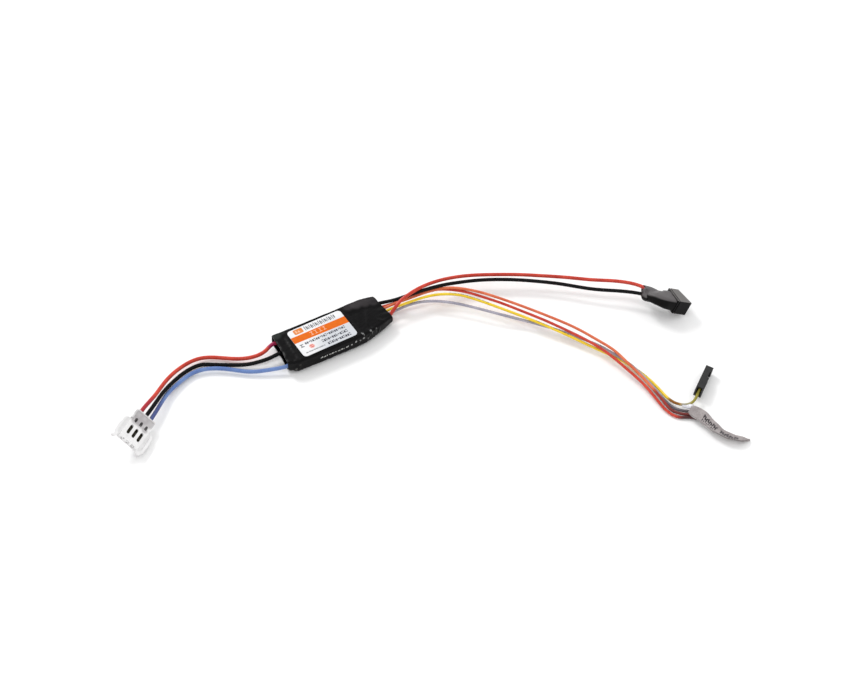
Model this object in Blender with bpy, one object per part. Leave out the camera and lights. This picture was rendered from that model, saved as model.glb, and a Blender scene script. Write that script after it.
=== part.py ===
"""A small brushless motor speed controller, as an assembly of separate pieces.

Frame, in metres: the origin is the centre of the sleeve's underside, +X runs along the body
towards the battery and signal leads, +Y across it, and +Z up from the surface it lies on.
"""

import math

import bmesh
import bpy
import numpy as np
from mathutils import Euler, Vector

# Driving dimensions, in metres.
GAP = 0.0001                # between a piece and the one that it rests on
LABEL_GAP = 0.00005

SLEEVE_WALL = 0.00035
SLEEVE_CORNER = 0.0008
SLEEVE_TOP = 0.0054
CORNER_STEPS = 4

BOARD_THICKNESS = 0.0008
BOARD_BOTTOM = 0.0014
BOARD_TOP = BOARD_BOTTOM + BOARD_THICKNESS
BOARD_LEFT = -0.0158
BOARD_RIGHT = 0.0118
BOARD_HALF_WIDTH = 0.0061

LABEL_SIZE = (0.0194, 0.0119, 0.00012)
LABEL_CENTRE = (-0.0042, 0.0002)
LABEL_CORNER = 0.0012

MOTOR_WIRE = 0.0013
BATTERY_WIRE = 0.0012
SIGNAL_WIRE = 0.0009

MOTOR_PAD_X = -0.0122
SUPPLY_PAD_X = 0.0077

# Where the three connectors lie, and their turns about X, Y and Z in degrees. Local +X is the nose.
MOTOR_PLUG_PLACE = ((-0.0717, -0.0059, 0.0043), (-38.0, -2.0, -143.0))
BATTERY_PLUG_PLACE = ((0.1031, -0.0432, 0.0041), (-8.0, 28.0, -12.0))
SINGLE_PLUG_PLACE = ((0.09225, -0.07405, 0.00224), (6.6, 3.1, 36.6))

MOTOR_PITCH = 0.0020
MOTOR_CORE = (0.0110, 0.0070, 0.0030)
MOTOR_CAVITY = 0.0016

BATTERY_HEAD = (0.0054, 0.0072, 0.0049)
BATTERY_NECK = (0.0031, 0.0046, 0.0026)
BATTERY_PITCH = 0.0025

SINGLE_LENGTH = 0.0118
SINGLE_SIDE = 0.0025
SINGLE_CAVITY = 0.0016

# Stations of the sleeve along X: x, near side, far side, underside, top.
SLEEVE_STATIONS = [
    (-0.0188, -0.0056, 0.0071, 0.0008, 0.0052),
    (-0.0178, -0.0064, 0.0071, 0.0002, SLEEVE_TOP),
    (-0.0160, -0.0070, 0.0071, 0.0000, SLEEVE_TOP),
    (-0.0080, -0.0071, 0.0071, 0.0000, SLEEVE_TOP),
    (0.0060, -0.0071, 0.0071, 0.0000, SLEEVE_TOP),
    (0.0110, -0.0066, 0.0071, 0.0000, 0.0053),
    (0.0135, -0.0056, 0.0071, 0.0001, 0.0051),
    (0.0165, -0.0044, 0.0071, 0.0003, 0.0048),
    (0.0188, -0.0036, 0.0069, 0.0008, 0.0045),
]

# Routes of the free wires: from the solder joint on the board, out of the sleeve, to the plug.
MOTOR_ROUTES = {
    "red": [
        (-0.0134, 0.0044, 0.0030), (-0.0160, 0.0054, 0.0030), (-0.0188, 0.0060, 0.0028),
        (-0.0206, 0.0057, 0.0025), (-0.0227, 0.0049, 0.0022), (-0.0267, 0.0051, 0.0017),
        (-0.0322, 0.0078, 0.0012), (-0.0383, 0.0120, 0.0011), (-0.0434, 0.0133, 0.0014),
        (-0.0494, 0.0119, 0.0020), (-0.0551, 0.0087, 0.0030), (-0.0612, 0.0036, 0.0045),
        (-0.0659, 0.0004, 0.0052), (-0.0690, -0.0019, 0.0053),
    ],
    "black": [
        (-0.0134, 0.0004, 0.0030), (-0.0160, 0.0011, 0.0029), (-0.0188, 0.0015, 0.0027),
        (-0.0219, 0.0015, 0.0024), (-0.0244, 0.0018, 0.0021), (-0.0298, 0.0034, 0.0015),
        (-0.0350, 0.0066, 0.0010), (-0.0387, 0.0089, 0.0009), (-0.0421, 0.0107, 0.0010),
        (-0.0465, 0.0106, 0.0013), (-0.0518, 0.0085, 0.0020), (-0.0577, 0.0048, 0.0031),
        (-0.0624, 0.0011, 0.0037), (-0.0681, -0.0032, 0.0041),
    ],
    "blue": [
        (-0.0134, -0.0036, 0.0029), (-0.0160, -0.0040, 0.0028), (-0.0188, -0.0043, 0.0025),
        (-0.0217, -0.0035, 0.0021), (-0.0245, -0.0024, 0.0018), (-0.0293, -0.0002, 0.0014),
        (-0.0333, 0.0026, 0.0014), (-0.0372, 0.0056, 0.0015), (-0.0419, 0.0081, 0.0014),
        (-0.0465, 0.0087, 0.0013), (-0.0516, 0.0071, 0.0015), (-0.0568, 0.0043, 0.0020),
        (-0.0615, 0.0003, 0.0026), (-0.0672, -0.0045, 0.0029),
    ],
}
BATTERY_ROUTES = {
    "red": [
        (0.0089, -0.0019, 0.0029), (0.0122, -0.0018, 0.0029), (0.0156, -0.0018, 0.0029),
        (0.0187, -0.0018, 0.0030), (0.0206, -0.0013, 0.0038), (0.0224, -0.0006, 0.0049),
        (0.0245, 0.0002, 0.0055), (0.0269, 0.0005, 0.0062), (0.0298, 0.0008, 0.0067),
        (0.0345, 0.0015, 0.0063), (0.0415, 0.0016, 0.0053), (0.0493, -0.0001, 0.0045),
        (0.0561, -0.0033, 0.0044), (0.0641, -0.0078, 0.0044), (0.0704, -0.0119, 0.0044),
        (0.0779, -0.0172, 0.0045), (0.0839, -0.0218, 0.0046), (0.0899, -0.0260, 0.0048),
        (0.0947, -0.0307, 0.0052), (0.0965, -0.0347, 0.0057), (0.0965, -0.0382, 0.0065),
        (0.0974, -0.0405, 0.0069),
    ],
    "black": [
        (0.0089, 0.0046, 0.0029), (0.0122, 0.0048, 0.0029), (0.0156, 0.0049, 0.0029),
        (0.0186, 0.0047, 0.0029), (0.0204, 0.0042, 0.0030), (0.0222, 0.0034, 0.0034),
        (0.0244, 0.0025, 0.0040), (0.0285, 0.0014, 0.0050), (0.0336, 0.0005, 0.0055),
        (0.0375, -0.0002, 0.0056), (0.0412, -0.0007, 0.0052), (0.0458, -0.0016, 0.0046),
        (0.0513, -0.0033, 0.0042), (0.0581, -0.0067, 0.0042), (0.0645, -0.0107, 0.0042),
        (0.0691, -0.0140, 0.0042), (0.0748, -0.0187, 0.0043), (0.0818, -0.0251, 0.0044),
        (0.0881, -0.0299, 0.0047), (0.0925, -0.0338, 0.0052), (0.0949, -0.0370, 0.0057),
        (0.0953, -0.0400, 0.0067), (0.0965, -0.0423, 0.0071),
    ],
}
SIGNAL_ROUTES = {
    "orange": [
        (0.0089, 0.0020, 0.0028), (0.0122, 0.0020, 0.0028), (0.0156, 0.0020, 0.0028),
        (0.0188, 0.0020, 0.0029), (0.0223, 0.0015, 0.0036), (0.0255, 0.0012, 0.0038),
        (0.0298, 0.0007, 0.0041), (0.0335, 0.0002, 0.0044), (0.0373, -0.0006, 0.0046),
        (0.0411, -0.0021, 0.0049), (0.0456, -0.0056, 0.0051), (0.0496, -0.0099, 0.0052),
        (0.0545, -0.0163, 0.0051), (0.0592, -0.0229, 0.0049), (0.0643, -0.0305, 0.0046),
        (0.0684, -0.0373, 0.0043), (0.0717, -0.0443, 0.0039), (0.0741, -0.0501, 0.0035),
        (0.0750, -0.0548, 0.0032), (0.0759, -0.0600, 0.0027), (0.0768, -0.0674, 0.0021),
        (0.0772, -0.0737, 0.0015), (0.0776, -0.0780, 0.0011), (0.0794, -0.0804, 0.0008),
        (0.0813, -0.0818, 0.0007), (0.0828, -0.0830, 0.0007), (0.0843, -0.0842, 0.0007),
    ],
    "red": [
        (0.0089, 0.0033, 0.0028), (0.0122, 0.0032, 0.0028), (0.0156, 0.0032, 0.0028),
        (0.0188, 0.0030, 0.0027), (0.0222, 0.0028, 0.0024), (0.0261, 0.0024, 0.0025),
        (0.0305, 0.0019, 0.0029), (0.0363, 0.0008, 0.0034), (0.0410, -0.0018, 0.0038),
        (0.0457, -0.0063, 0.0042), (0.0492, -0.0107, 0.0042), (0.0528, -0.0156, 0.0042),
        (0.0562, -0.0207, 0.0041), (0.0607, -0.0276, 0.0039), (0.0643, -0.0337, 0.0037),
        (0.0688, -0.0421, 0.0034), (0.0710, -0.0470, 0.0031), (0.0726, -0.0520, 0.0028),
        (0.0739, -0.0577, 0.0024), (0.0752, -0.0638, 0.0019), (0.0758, -0.0700, 0.0014),
        (0.0760, -0.0751, 0.0010), (0.0768, -0.0790, 0.0007), (0.0785, -0.0814, 0.0006),
        (0.0803, -0.0824, 0.0006), (0.0818, -0.0835, 0.0006), (0.0834, -0.0848, 0.0006),
    ],
    "yellow": [
        (0.0089, 0.0007, 0.0028), (0.0122, 0.0008, 0.0028), (0.0156, 0.0008, 0.0028),
        (0.0188, 0.0007, 0.0028), (0.0220, 0.0007, 0.0028), (0.0247, -0.0001, 0.0036),
        (0.0310, -0.0011, 0.0042), (0.0365, -0.0026, 0.0045), (0.0415, -0.0053, 0.0045),
        (0.0443, -0.0078, 0.0044), (0.0481, -0.0125, 0.0042), (0.0528, -0.0191, 0.0040),
        (0.0575, -0.0258, 0.0037), (0.0626, -0.0333, 0.0031), (0.0668, -0.0400, 0.0025),
        (0.0704, -0.0457, 0.0018), (0.0736, -0.0503, 0.0011), (0.0763, -0.0554, 0.0008),
        (0.0778, -0.0601, 0.0007), (0.0786, -0.0643, 0.0009), (0.0789, -0.0702, 0.0013),
        (0.0793, -0.0751, 0.0016), (0.0811, -0.0777, 0.0014), (0.0832, -0.0790, 0.0016),
        (0.0847, -0.0792, 0.0021), (0.0860, -0.0787, 0.0025), (0.0879, -0.0773, 0.0025),
        (0.0896, -0.0760, 0.0024),
    ],
    "grey": [
        (0.0089, -0.0006, 0.0028), (0.0122, -0.0005, 0.0028), (0.0156, -0.0004, 0.0028),
        (0.0188, -0.0004, 0.0025), (0.0225, -0.0001, 0.0020), (0.0254, -0.0003, 0.0024),
        (0.0287, -0.0010, 0.0029), (0.0329, -0.0028, 0.0034), (0.0384, -0.0069, 0.0039),
        (0.0439, -0.0122, 0.0038), (0.0492, -0.0180, 0.0036), (0.0547, -0.0234, 0.0029),
        (0.0601, -0.0287, 0.0022), (0.0644, -0.0336, 0.0018), (0.0685, -0.0393, 0.0016),
        (0.0716, -0.0444, 0.0017), (0.0735, -0.0491, 0.0020), (0.0753, -0.0540, 0.0021),
        (0.0767, -0.0589, 0.0018), (0.0773, -0.0638, 0.0016), (0.0778, -0.0689, 0.0012),
        (0.0781, -0.0741, 0.0009), (0.0794, -0.0784, 0.0008), (0.0818, -0.0808, 0.0009),
        (0.0844, -0.0830, 0.0008),
    ],
}

# Battery plug's heat-shrink: centre line with half-width and half-height at each station over
# the wires, then over the plug's neck, as a place along the plug with the same two sizes.
PLUG_SHRINK_STATIONS = [
    ((0.0956, -0.0358, 0.0057), 0.0023, 0.0014),
    ((0.0958, -0.0378, 0.0063), 0.0024, 0.0014),
    ((0.0962, -0.0398, 0.0069), 0.0025, 0.0015),
    ((0.0969, -0.0412, 0.0071), 0.0026, 0.0016),
]
PLUG_SHRINK_NECK = [
    (-0.0061, 0.0031, 0.0021),
    (-0.0028, 0.0034, 0.0022),
]
PLUG_SHRINK_WALL = 0.0003

# The folded tag: far edge and near edge at each station along it.
TAG_STATIONS = [
    ((0.0840, -0.0806, 0.0022), (0.0814, -0.0821, 0.0022)),
    ((0.0853, -0.0821, 0.0020), (0.0813, -0.0850, 0.0022)),
    ((0.0863, -0.0844, 0.0017), (0.0818, -0.0874, 0.0021)),
    ((0.0866, -0.0880, 0.0013), (0.0820, -0.0906, 0.0026)),
    ((0.0871, -0.0907, 0.0009), (0.0828, -0.0934, 0.0029)),
    ((0.0878, -0.0931, 0.0006), (0.0839, -0.0960, 0.0031)),
    ((0.0892, -0.0950, 0.0004), (0.0857, -0.0980, 0.0028)),
    ((0.0909, -0.0970, 0.0003), (0.0879, -0.0994, 0.0026)),
    ((0.0924, -0.0989, 0.0003), (0.0905, -0.0997, 0.0016)),
]
TAG_THICKNESS = 0.0003

COLOURS = {
    "sleeve": ((0.020, 0.020, 0.022), 0.35, 0.0),
    "label": ((0.90, 0.90, 0.90), 0.45, 0.0),
    "board": ((0.02, 0.16, 0.07), 0.45, 0.0),
    "package": ((0.03, 0.03, 0.03), 0.50, 0.0),
    "ceramic": ((0.55, 0.42, 0.28), 0.50, 0.0),
    "solder": ((0.70, 0.70, 0.72), 0.30, 1.0),
    "contact": ((0.80, 0.66, 0.38), 0.30, 1.0),
    "red_silicone": ((0.62, 0.05, 0.03), 0.45, 0.0),
    "black_silicone": ((0.02, 0.02, 0.02), 0.45, 0.0),
    "blue_silicone": ((0.16, 0.30, 0.72), 0.45, 0.0),
    "orange_insulation": ((0.80, 0.17, 0.05), 0.45, 0.0),
    "yellow_insulation": ((0.85, 0.62, 0.05), 0.45, 0.0),
    "grey_insulation": ((0.55, 0.55, 0.58), 0.45, 0.0),
    "white_nylon": ((0.86, 0.86, 0.84), 0.40, 0.0),
    "black_plastic": ((0.03, 0.03, 0.03), 0.45, 0.0),
    "tag_film": ((0.45, 0.43, 0.43), 0.35, 0.0),
}


def clear_scene():
    for old in list(bpy.data.objects):
        bpy.data.objects.remove(old, do_unlink=True)


def material(name):
    found = bpy.data.materials.get(name)
    if found:
        return found
    colour, roughness, metallic = COLOURS[name]
    made = bpy.data.materials.new(name)
    made.use_nodes = True
    shader = made.node_tree.nodes["Principled BSDF"]
    shader.inputs["Base Color"].default_value = (*colour, 1.0)
    shader.inputs["Roughness"].default_value = roughness
    shader.inputs["Metallic"].default_value = metallic
    made.diffuse_color = (*colour, 1.0)
    return made


def place(name, data, finish, parent=None, location=(0.0, 0.0, 0.0)):
    """Adds an object for this mesh or curve; a child is placed in its parent's own frame."""
    made = bpy.data.objects.new(name, data)
    bpy.context.scene.collection.objects.link(made)
    made.location = location
    if parent:
        made.parent = parent
    if not data.materials:
        data.materials.append(material(finish))
    return made


def plug_frame(name, spot):
    location, turns = spot
    frame = bpy.data.objects.new(name, None)
    bpy.context.scene.collection.objects.link(frame)
    frame.location = location
    frame.rotation_euler = [math.radians(turn) for turn in turns]
    return frame


def mesh_from(shape):
    """Turns a bmesh into a mesh with its faces pointing out."""
    bmesh.ops.recalc_face_normals(shape, faces=shape.faces)
    made = bpy.data.meshes.new("shape")
    shape.to_mesh(made)
    shape.free()
    return made


def box_mesh(low, high, bevel=0.0, segments=1):
    shape = bmesh.new()
    bmesh.ops.create_cube(shape, size=1.0)
    size = [b - a for a, b in zip(low, high)]
    middle = [(a + b) / 2 for a, b in zip(low, high)]
    for vertex in shape.verts:
        vertex.co = Vector([c * s + m for c, s, m in zip(vertex.co, size, middle)])
    if bevel:
        bmesh.ops.bevel(shape, geom=shape.edges, offset=bevel, segments=segments,
                        profile=0.5, affect="EDGES")
    return mesh_from(shape)


def prism_mesh(outline, low, high, bevel=0.0):
    """Extrudes a closed XY outline from z = low to z = high."""
    shape = bmesh.new()
    bottom = [shape.verts.new((x, y, low)) for x, y in outline]
    face = shape.faces.new(bottom)
    grown = bmesh.ops.extrude_face_region(shape, geom=[face])
    raised = [item for item in grown["geom"] if isinstance(item, bmesh.types.BMVert)]
    bmesh.ops.translate(shape, verts=raised, vec=(0.0, 0.0, high - low))
    if bevel:
        bmesh.ops.bevel(shape, geom=shape.edges, offset=bevel, segments=1, profile=0.5,
                        affect="EDGES")
    return mesh_from(shape)


def loft_mesh(rings, closed=False):
    """Skins rings of equal length. A closed loft joins its last ring to its first."""
    shape = bmesh.new()
    loops = [[shape.verts.new(point) for point in ring] for ring in rings]
    pairs = list(zip(loops, loops[1:]))
    if closed:
        pairs.append((loops[-1], loops[0]))
    else:
        shape.faces.new(loops[0])
        shape.faces.new(list(reversed(loops[-1])))
    for one, two in pairs:
        for i, _ in enumerate(one):
            j = (i + 1) % len(one)
            shape.faces.new((one[i], one[j], two[j], two[i]))
    return mesh_from(shape)


def joined(base, tools, operation):
    """The base mesh with each tool mesh cut from it or added to it."""
    for tool in tools:
        first = bpy.data.objects.new("first", base)
        second = bpy.data.objects.new("second", tool)
        for item in (first, second):
            bpy.context.scene.collection.objects.link(item)
        change = first.modifiers.new("Boolean", "BOOLEAN")
        change.operation = operation
        change.solver = "EXACT"
        change.object = second
        graph = bpy.context.evaluated_depsgraph_get()
        base = bpy.data.meshes.new_from_object(first.evaluated_get(graph))
        for item in (first, second):
            bpy.data.objects.remove(item, do_unlink=True)
    return base


def smooth_route(points, spacing):
    """A natural cubic curve through the points, read about every spacing along its length."""
    points = np.array(points)
    knots = np.concatenate([[0.0], np.cumsum(np.linalg.norm(np.diff(points, axis=0), axis=1) ** 0.5)])
    step = np.diff(knots)
    count = len(points)
    system = np.eye(count)
    wanted = np.zeros((count, 3))
    for i in range(1, count - 1):
        system[i, i - 1] = step[i - 1]
        system[i, i] = 2 * (step[i - 1] + step[i])
        system[i, i + 1] = step[i]
        ahead = (points[i + 1] - points[i]) / step[i]
        behind = (points[i] - points[i - 1]) / step[i - 1]
        wanted[i] = 6 * (ahead - behind)
    bend = np.linalg.solve(system, wanted)
    fine = np.linspace(0.0, knots[-1], 40 * count)
    piece = np.clip(np.searchsorted(knots, fine) - 1, 0, count - 2)
    after = (knots[piece + 1] - fine)[:, None]
    before = (fine - knots[piece])[:, None]
    width = step[piece][:, None]
    curve = (
        bend[piece] * after ** 3 / (6 * width)
        + bend[piece + 1] * before ** 3 / (6 * width)
        + (points[piece] / width - bend[piece] * width / 6) * after
        + (points[piece + 1] / width - bend[piece + 1] * width / 6) * before
    )
    run = np.concatenate([[0.0], np.cumsum(np.linalg.norm(np.diff(curve, axis=0), axis=1))])
    even = np.linspace(0.0, run[-1], max(2, round(run[-1] / spacing)) + 1)
    return np.column_stack([np.interp(even, run, curve[:, axis]) for axis in range(3)])


def wire(name, route, diameter, finish):
    data = bpy.data.curves.new(name, "CURVE")
    data.dimensions = "3D"
    data.bevel_depth = diameter / 2
    data.bevel_resolution = 2
    data.use_fill_caps = True
    path = smooth_route(route, 2.6 * diameter)
    spline = data.splines.new("POLY")
    spline.points.add(len(path) - 1)
    for point, spot in zip(spline.points, path):
        point.co = (*spot, 1.0)
    return place(name, data, finish)


def sleeve_section(station, inset):
    """A rounded rectangle across the sleeve, in a plane of constant x."""
    x, near, far, low, top = station
    near, far, low, top = near + inset, far - inset, low + inset, top - inset
    radius = SLEEVE_CORNER - inset
    corners = [
        (far - radius, top - radius, 0.0),
        (near + radius, top - radius, 90.0),
        (near + radius, low + radius, 180.0),
        (far - radius, low + radius, 270.0),
    ]
    ring = []
    for y, z, start in corners:
        for step in range(CORNER_STEPS + 1):
            turn = math.radians(start + 90.0 * step / CORNER_STEPS)
            ring.append((x, y + radius * math.cos(turn), z + radius * math.sin(turn)))
    return ring


def build_sleeve():
    outer = [sleeve_section(station, 0.0) for station in SLEEVE_STATIONS]
    inner = [sleeve_section(station, SLEEVE_WALL) for station in reversed(SLEEVE_STATIONS)]
    sleeve = place("heat_shrink_sleeve", loft_mesh(outer + inner, closed=True), "sleeve")
    sleeve.data.shade_smooth()
    sleeve.data.set_sharp_from_angle(angle=math.radians(40))


def rounded_outline(centre, size, corner, steps=4):
    outline = []
    signs = [(1, 1, 0.0), (-1, 1, 90.0), (-1, -1, 180.0), (1, -1, 270.0)]
    for sign_x, sign_y, start in signs:
        x = centre[0] + sign_x * (size[0] / 2 - corner)
        y = centre[1] + sign_y * (size[1] / 2 - corner)
        for step in range(steps + 1):
            turn = math.radians(start + 90.0 * step / steps)
            outline.append((x + corner * math.cos(turn), y + corner * math.sin(turn)))
    return outline


def build_label():
    bottom = SLEEVE_TOP + LABEL_GAP
    outline = rounded_outline(LABEL_CENTRE, LABEL_SIZE[:2], LABEL_CORNER)
    place("product_label", prism_mesh(outline, bottom, bottom + LABEL_SIZE[2]), "label")


def build_board():
    outline = [
        (BOARD_LEFT, -BOARD_HALF_WIDTH + 0.0008),
        (BOARD_LEFT + 0.0008, -BOARD_HALF_WIDTH),
        (BOARD_RIGHT - 0.0022, -BOARD_HALF_WIDTH),
        (BOARD_RIGHT, -BOARD_HALF_WIDTH + 0.0016),
        (BOARD_RIGHT, BOARD_HALF_WIDTH),
        (BOARD_LEFT, BOARD_HALF_WIDTH),
    ]
    place("circuit_board", prism_mesh(outline, BOARD_BOTTOM, BOARD_TOP), "board")


def chip_mesh(size, lead_count, lead_reach=0.0004, lead_width=0.0004, lead_height=0.0002):
    """A moulded package standing on z = 0, with lead_count leads along each long side."""
    length, width, height = size
    body = box_mesh((-length / 2, -width / 2, 0.0), (length / 2, width / 2, height), bevel=0.00012)
    pitch = length / lead_count
    leads = []
    for i in range(lead_count):
        x = (i + 0.5) * pitch - length / 2
        low = (x - lead_width / 2, -width / 2 - lead_reach, 0.0002)
        high = (x + lead_width / 2, width / 2 + lead_reach, 0.0002 + lead_height)
        leads.append(box_mesh(low, high))
    return joined(body, leads, "UNION")


def build_components():
    """Everything soldered to the board: power switches below, logic and supply above."""
    switch = chip_mesh((0.0029, 0.0026, 0.0008), 3)
    under = BOARD_BOTTOM - GAP
    number = 0
    for column in range(3):
        for row in range(2):
            number += 1
            x = -0.0098 + 0.0046 * column
            y = -0.0028 + 0.0056 * row
            chip = place(f"mosfet_{number}", switch, "package", location=(x, y, under))
            chip.rotation_euler = (math.pi, 0.0, 0.0)
    top = BOARD_TOP + GAP
    place("microcontroller", chip_mesh((0.0046, 0.0042, 0.0009), 6, 0.0004, 0.0003), "package",
          location=(-0.0052, 0.0, top))
    place("gate_driver", chip_mesh((0.0030, 0.0022, 0.0010), 4, 0.0004, 0.0003), "package",
          location=(-0.0005, -0.0036, top))
    place("voltage_regulator", chip_mesh((0.0044, 0.0025, 0.0015), 3), "package",
          location=(0.0012, 0.0031, top))
    input_capacitor = box_mesh((-0.0009, -0.0016, 0.0), (0.0009, 0.0016, 0.0018), bevel=0.00015)
    for i in range(2):
        place(f"input_capacitor_{i + 1}", input_capacitor, "ceramic",
              location=(0.0036 + 0.0022 * i, -0.0040, top))
    filter_capacitor = box_mesh((-0.0010, -0.0006, 0.0), (0.0010, 0.0006, 0.0008), bevel=0.0001)
    place("logic_capacitor", filter_capacitor, "ceramic", location=(-0.0052, 0.0042, top))
    place("resonator", box_mesh((-0.0013, -0.0007, 0.0), (0.0013, 0.0007, 0.0009), bevel=0.0001),
          "contact", location=(-0.0052, -0.0044, top))
    shunt = box_mesh((-0.0008, -0.0016, 0.0), (0.0008, 0.0016, 0.0006), bevel=0.0001)
    chip = place("current_sense_resistor", shunt, "package", location=(0.0048, 0.0, under))
    chip.rotation_euler = (math.pi, 0.0, 0.0)


def solder_mesh(length, width, height):
    """A low rounded mound of solder standing on z = 0."""
    levels = [(1.0, 0.0), (0.92, 0.45), (0.62, 0.85), (0.25, 1.0)]
    rings = []
    for scale, rise in levels:
        ring = []
        for i in range(10):
            turn = 2 * math.pi * i / 10
            ring.append((length / 2 * scale * math.cos(turn), width / 2 * scale * math.sin(turn),
                         height * rise))
        rings.append(ring)
    return loft_mesh(rings)


def build_wires():
    """The nine free wires, each with the solder joint that it leaves the board from."""
    leads = [
        ("motor", MOTOR_ROUTES, MOTOR_WIRE, MOTOR_PAD_X, solder_mesh(0.0020, 0.0024, 0.0012)),
        ("battery", BATTERY_ROUTES, BATTERY_WIRE, SUPPLY_PAD_X, solder_mesh(0.0020, 0.0016, 0.0011)),
        ("signal", SIGNAL_ROUTES, SIGNAL_WIRE, SUPPLY_PAD_X, solder_mesh(0.0018, 0.0009, 0.0008)),
    ]
    finishes = {
        "red": "red_silicone", "black": "black_silicone", "blue": "blue_silicone",
        "orange": "orange_insulation", "yellow": "yellow_insulation", "grey": "grey_insulation",
    }
    for lead, routes, diameter, pad_x, joint in leads:
        for colour, route in routes.items():
            wire(f"{lead}_wire_{colour}", route, diameter, finishes[colour])
            spot = (pad_x, route[0][1], BOARD_TOP + GAP)
            place(f"{lead}_solder_joint_{colour}", joint, "solder", location=spot)


def contact_mesh(length, side, bore):
    """A crimp socket: a square barrel lying along +X, bored from its front end."""
    body = box_mesh((0.0, -side / 2, -side / 2), (length, side / 2, side / 2), bevel=0.00008)
    hole = box_mesh((length * 0.35, -bore / 2, -bore / 2), (length + 0.001, bore / 2, bore / 2))
    return joined(body, [hole], "DIFFERENCE")


def build_motor_plug():
    frame = plug_frame("motor_plug_frame", MOTOR_PLUG_PLACE)
    length, width, height = MOTOR_CORE
    half = length / 2
    core = box_mesh((-half, -width / 2, -height / 2), (half, width / 2, height / 2), bevel=0.0002)
    side = width / 2
    wing = [
        (-0.0018, side - 0.0006), (-0.0014, side + 0.0008), (-0.0004, side + 0.0020),
        (0.0040, side + 0.0023), (0.0060, side + 0.0022), (0.0069, side + 0.0018),
        (0.0071, side + 0.0010), (0.0062, side + 0.0004), (half - 0.0006, side),
        (half - 0.0006, side - 0.0006),
    ]
    low, high = -0.0010, 0.0009
    far_wing = [(x, -y) for x, y in reversed(wing)]
    wings = [prism_mesh(outline, low, high) for outline in (wing, far_wing)]
    housing = joined(core, wings, "UNION")
    cuts = []
    cavity = MOTOR_CAVITY / 2
    for i in (-1, 0, 1):
        y = i * MOTOR_PITCH
        cuts.append(box_mesh((-half - 0.001, y - cavity, -cavity), (half + 0.001, y + cavity, cavity)))
    for i in (-1, 0, 1):
        y = i * MOTOR_PITCH
        cuts.append(box_mesh((0.0009, y - 0.0004, 0.0), (0.0042, y + 0.0004, 0.002)))
        cuts.append(box_mesh((-0.0025, y - 0.00035, 0.0), (-0.0013, y + 0.00035, 0.002)))
    place("motor_plug_housing", joined(housing, cuts, "DIFFERENCE"), "white_nylon", frame)
    socket = contact_mesh(0.0068, 0.0012, 0.0007)
    for i in (-1, 0, 1):
        place(f"motor_plug_contact_{i + 2}", socket, "contact", frame,
              (-0.0016, i * MOTOR_PITCH, 0.0))


def build_battery_plug():
    frame = plug_frame("battery_plug_frame", BATTERY_PLUG_PLACE)
    length, width, height = BATTERY_HEAD
    half = length / 2
    housing = box_mesh((-half, -width / 2, -height / 2), (half, width / 2, height / 2),
                       bevel=0.00025)
    neck_length, neck_width, neck_height = BATTERY_NECK
    back = -half - neck_length
    neck = box_mesh((back, -neck_width / 2, -neck_height / 2),
                    (-half + 0.0005, neck_width / 2, neck_height / 2))
    housing = joined(housing, [neck], "UNION")
    cuts = [box_mesh((-half + 0.0014, -width / 2 + 0.0008, -height / 2 + 0.0008),
                     (half + 0.001, width / 2 - 0.0008, height / 2 - 0.0008))]
    for side in (-1, 1):
        y = side * BATTERY_PITCH / 2
        cuts.append(box_mesh((back - 0.001, y - 0.0005, -0.0005), (half, y + 0.0005, 0.0005)))
    place("battery_plug_housing", joined(housing, cuts, "DIFFERENCE"), "black_plastic", frame)
    pin = box_mesh((back + 0.0004, -0.00035, -0.00035), (half - 0.0012, 0.00035, 0.00035),
                   bevel=0.0001)
    for number, side in enumerate((-1, 1), start=1):
        place(f"battery_plug_pin_{number}", pin, "contact", frame,
              (0.0, side * BATTERY_PITCH / 2, 0.0))


def tube_ring(centre, across, upward, half_width, half_height):
    """One ring of a flattened tube, squarer than an ellipse."""
    ring = []
    for step in range(16):
        turn = 2 * math.pi * step / 16
        sideways = math.copysign(abs(math.cos(turn)) ** 0.5, math.cos(turn))
        rise = math.copysign(abs(math.sin(turn)) ** 0.5, math.sin(turn))
        ring.append(centre + across * half_width * sideways + upward * half_height * rise)
    return ring


def build_plug_shrink():
    """The short open sleeve that runs from the two battery wires over the plug's neck."""
    location, turns = BATTERY_PLUG_PLACE
    turned = Euler([math.radians(turn) for turn in turns]).to_matrix()
    stations = [(Vector(spot), width, height) for spot, width, height in PLUG_SHRINK_STATIONS]
    for reach, half_width, half_height in PLUG_SHRINK_NECK:
        spot = Vector(location) + turned @ Vector((reach, 0.0, 0.0))
        stations.append((spot, half_width, half_height))
    outer, inner = [], []
    for i, (centre, half_width, half_height) in enumerate(stations):
        if i < len(PLUG_SHRINK_STATIONS):
            ahead = stations[i + 1][0] - stations[max(i - 1, 0)][0]
            across = Vector((0.0, 0.0, 1.0)).cross(ahead).normalized()
            upward = ahead.cross(across).normalized()
        else:
            across, upward = turned.col[1], turned.col[2]
        outer.append(tube_ring(centre, across, upward, half_width, half_height))
        inner.append(tube_ring(centre, across, upward, half_width - PLUG_SHRINK_WALL,
                               half_height - PLUG_SHRINK_WALL))
    place("battery_plug_heat_shrink", loft_mesh(outer + inner[::-1], closed=True), "sleeve")


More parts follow.
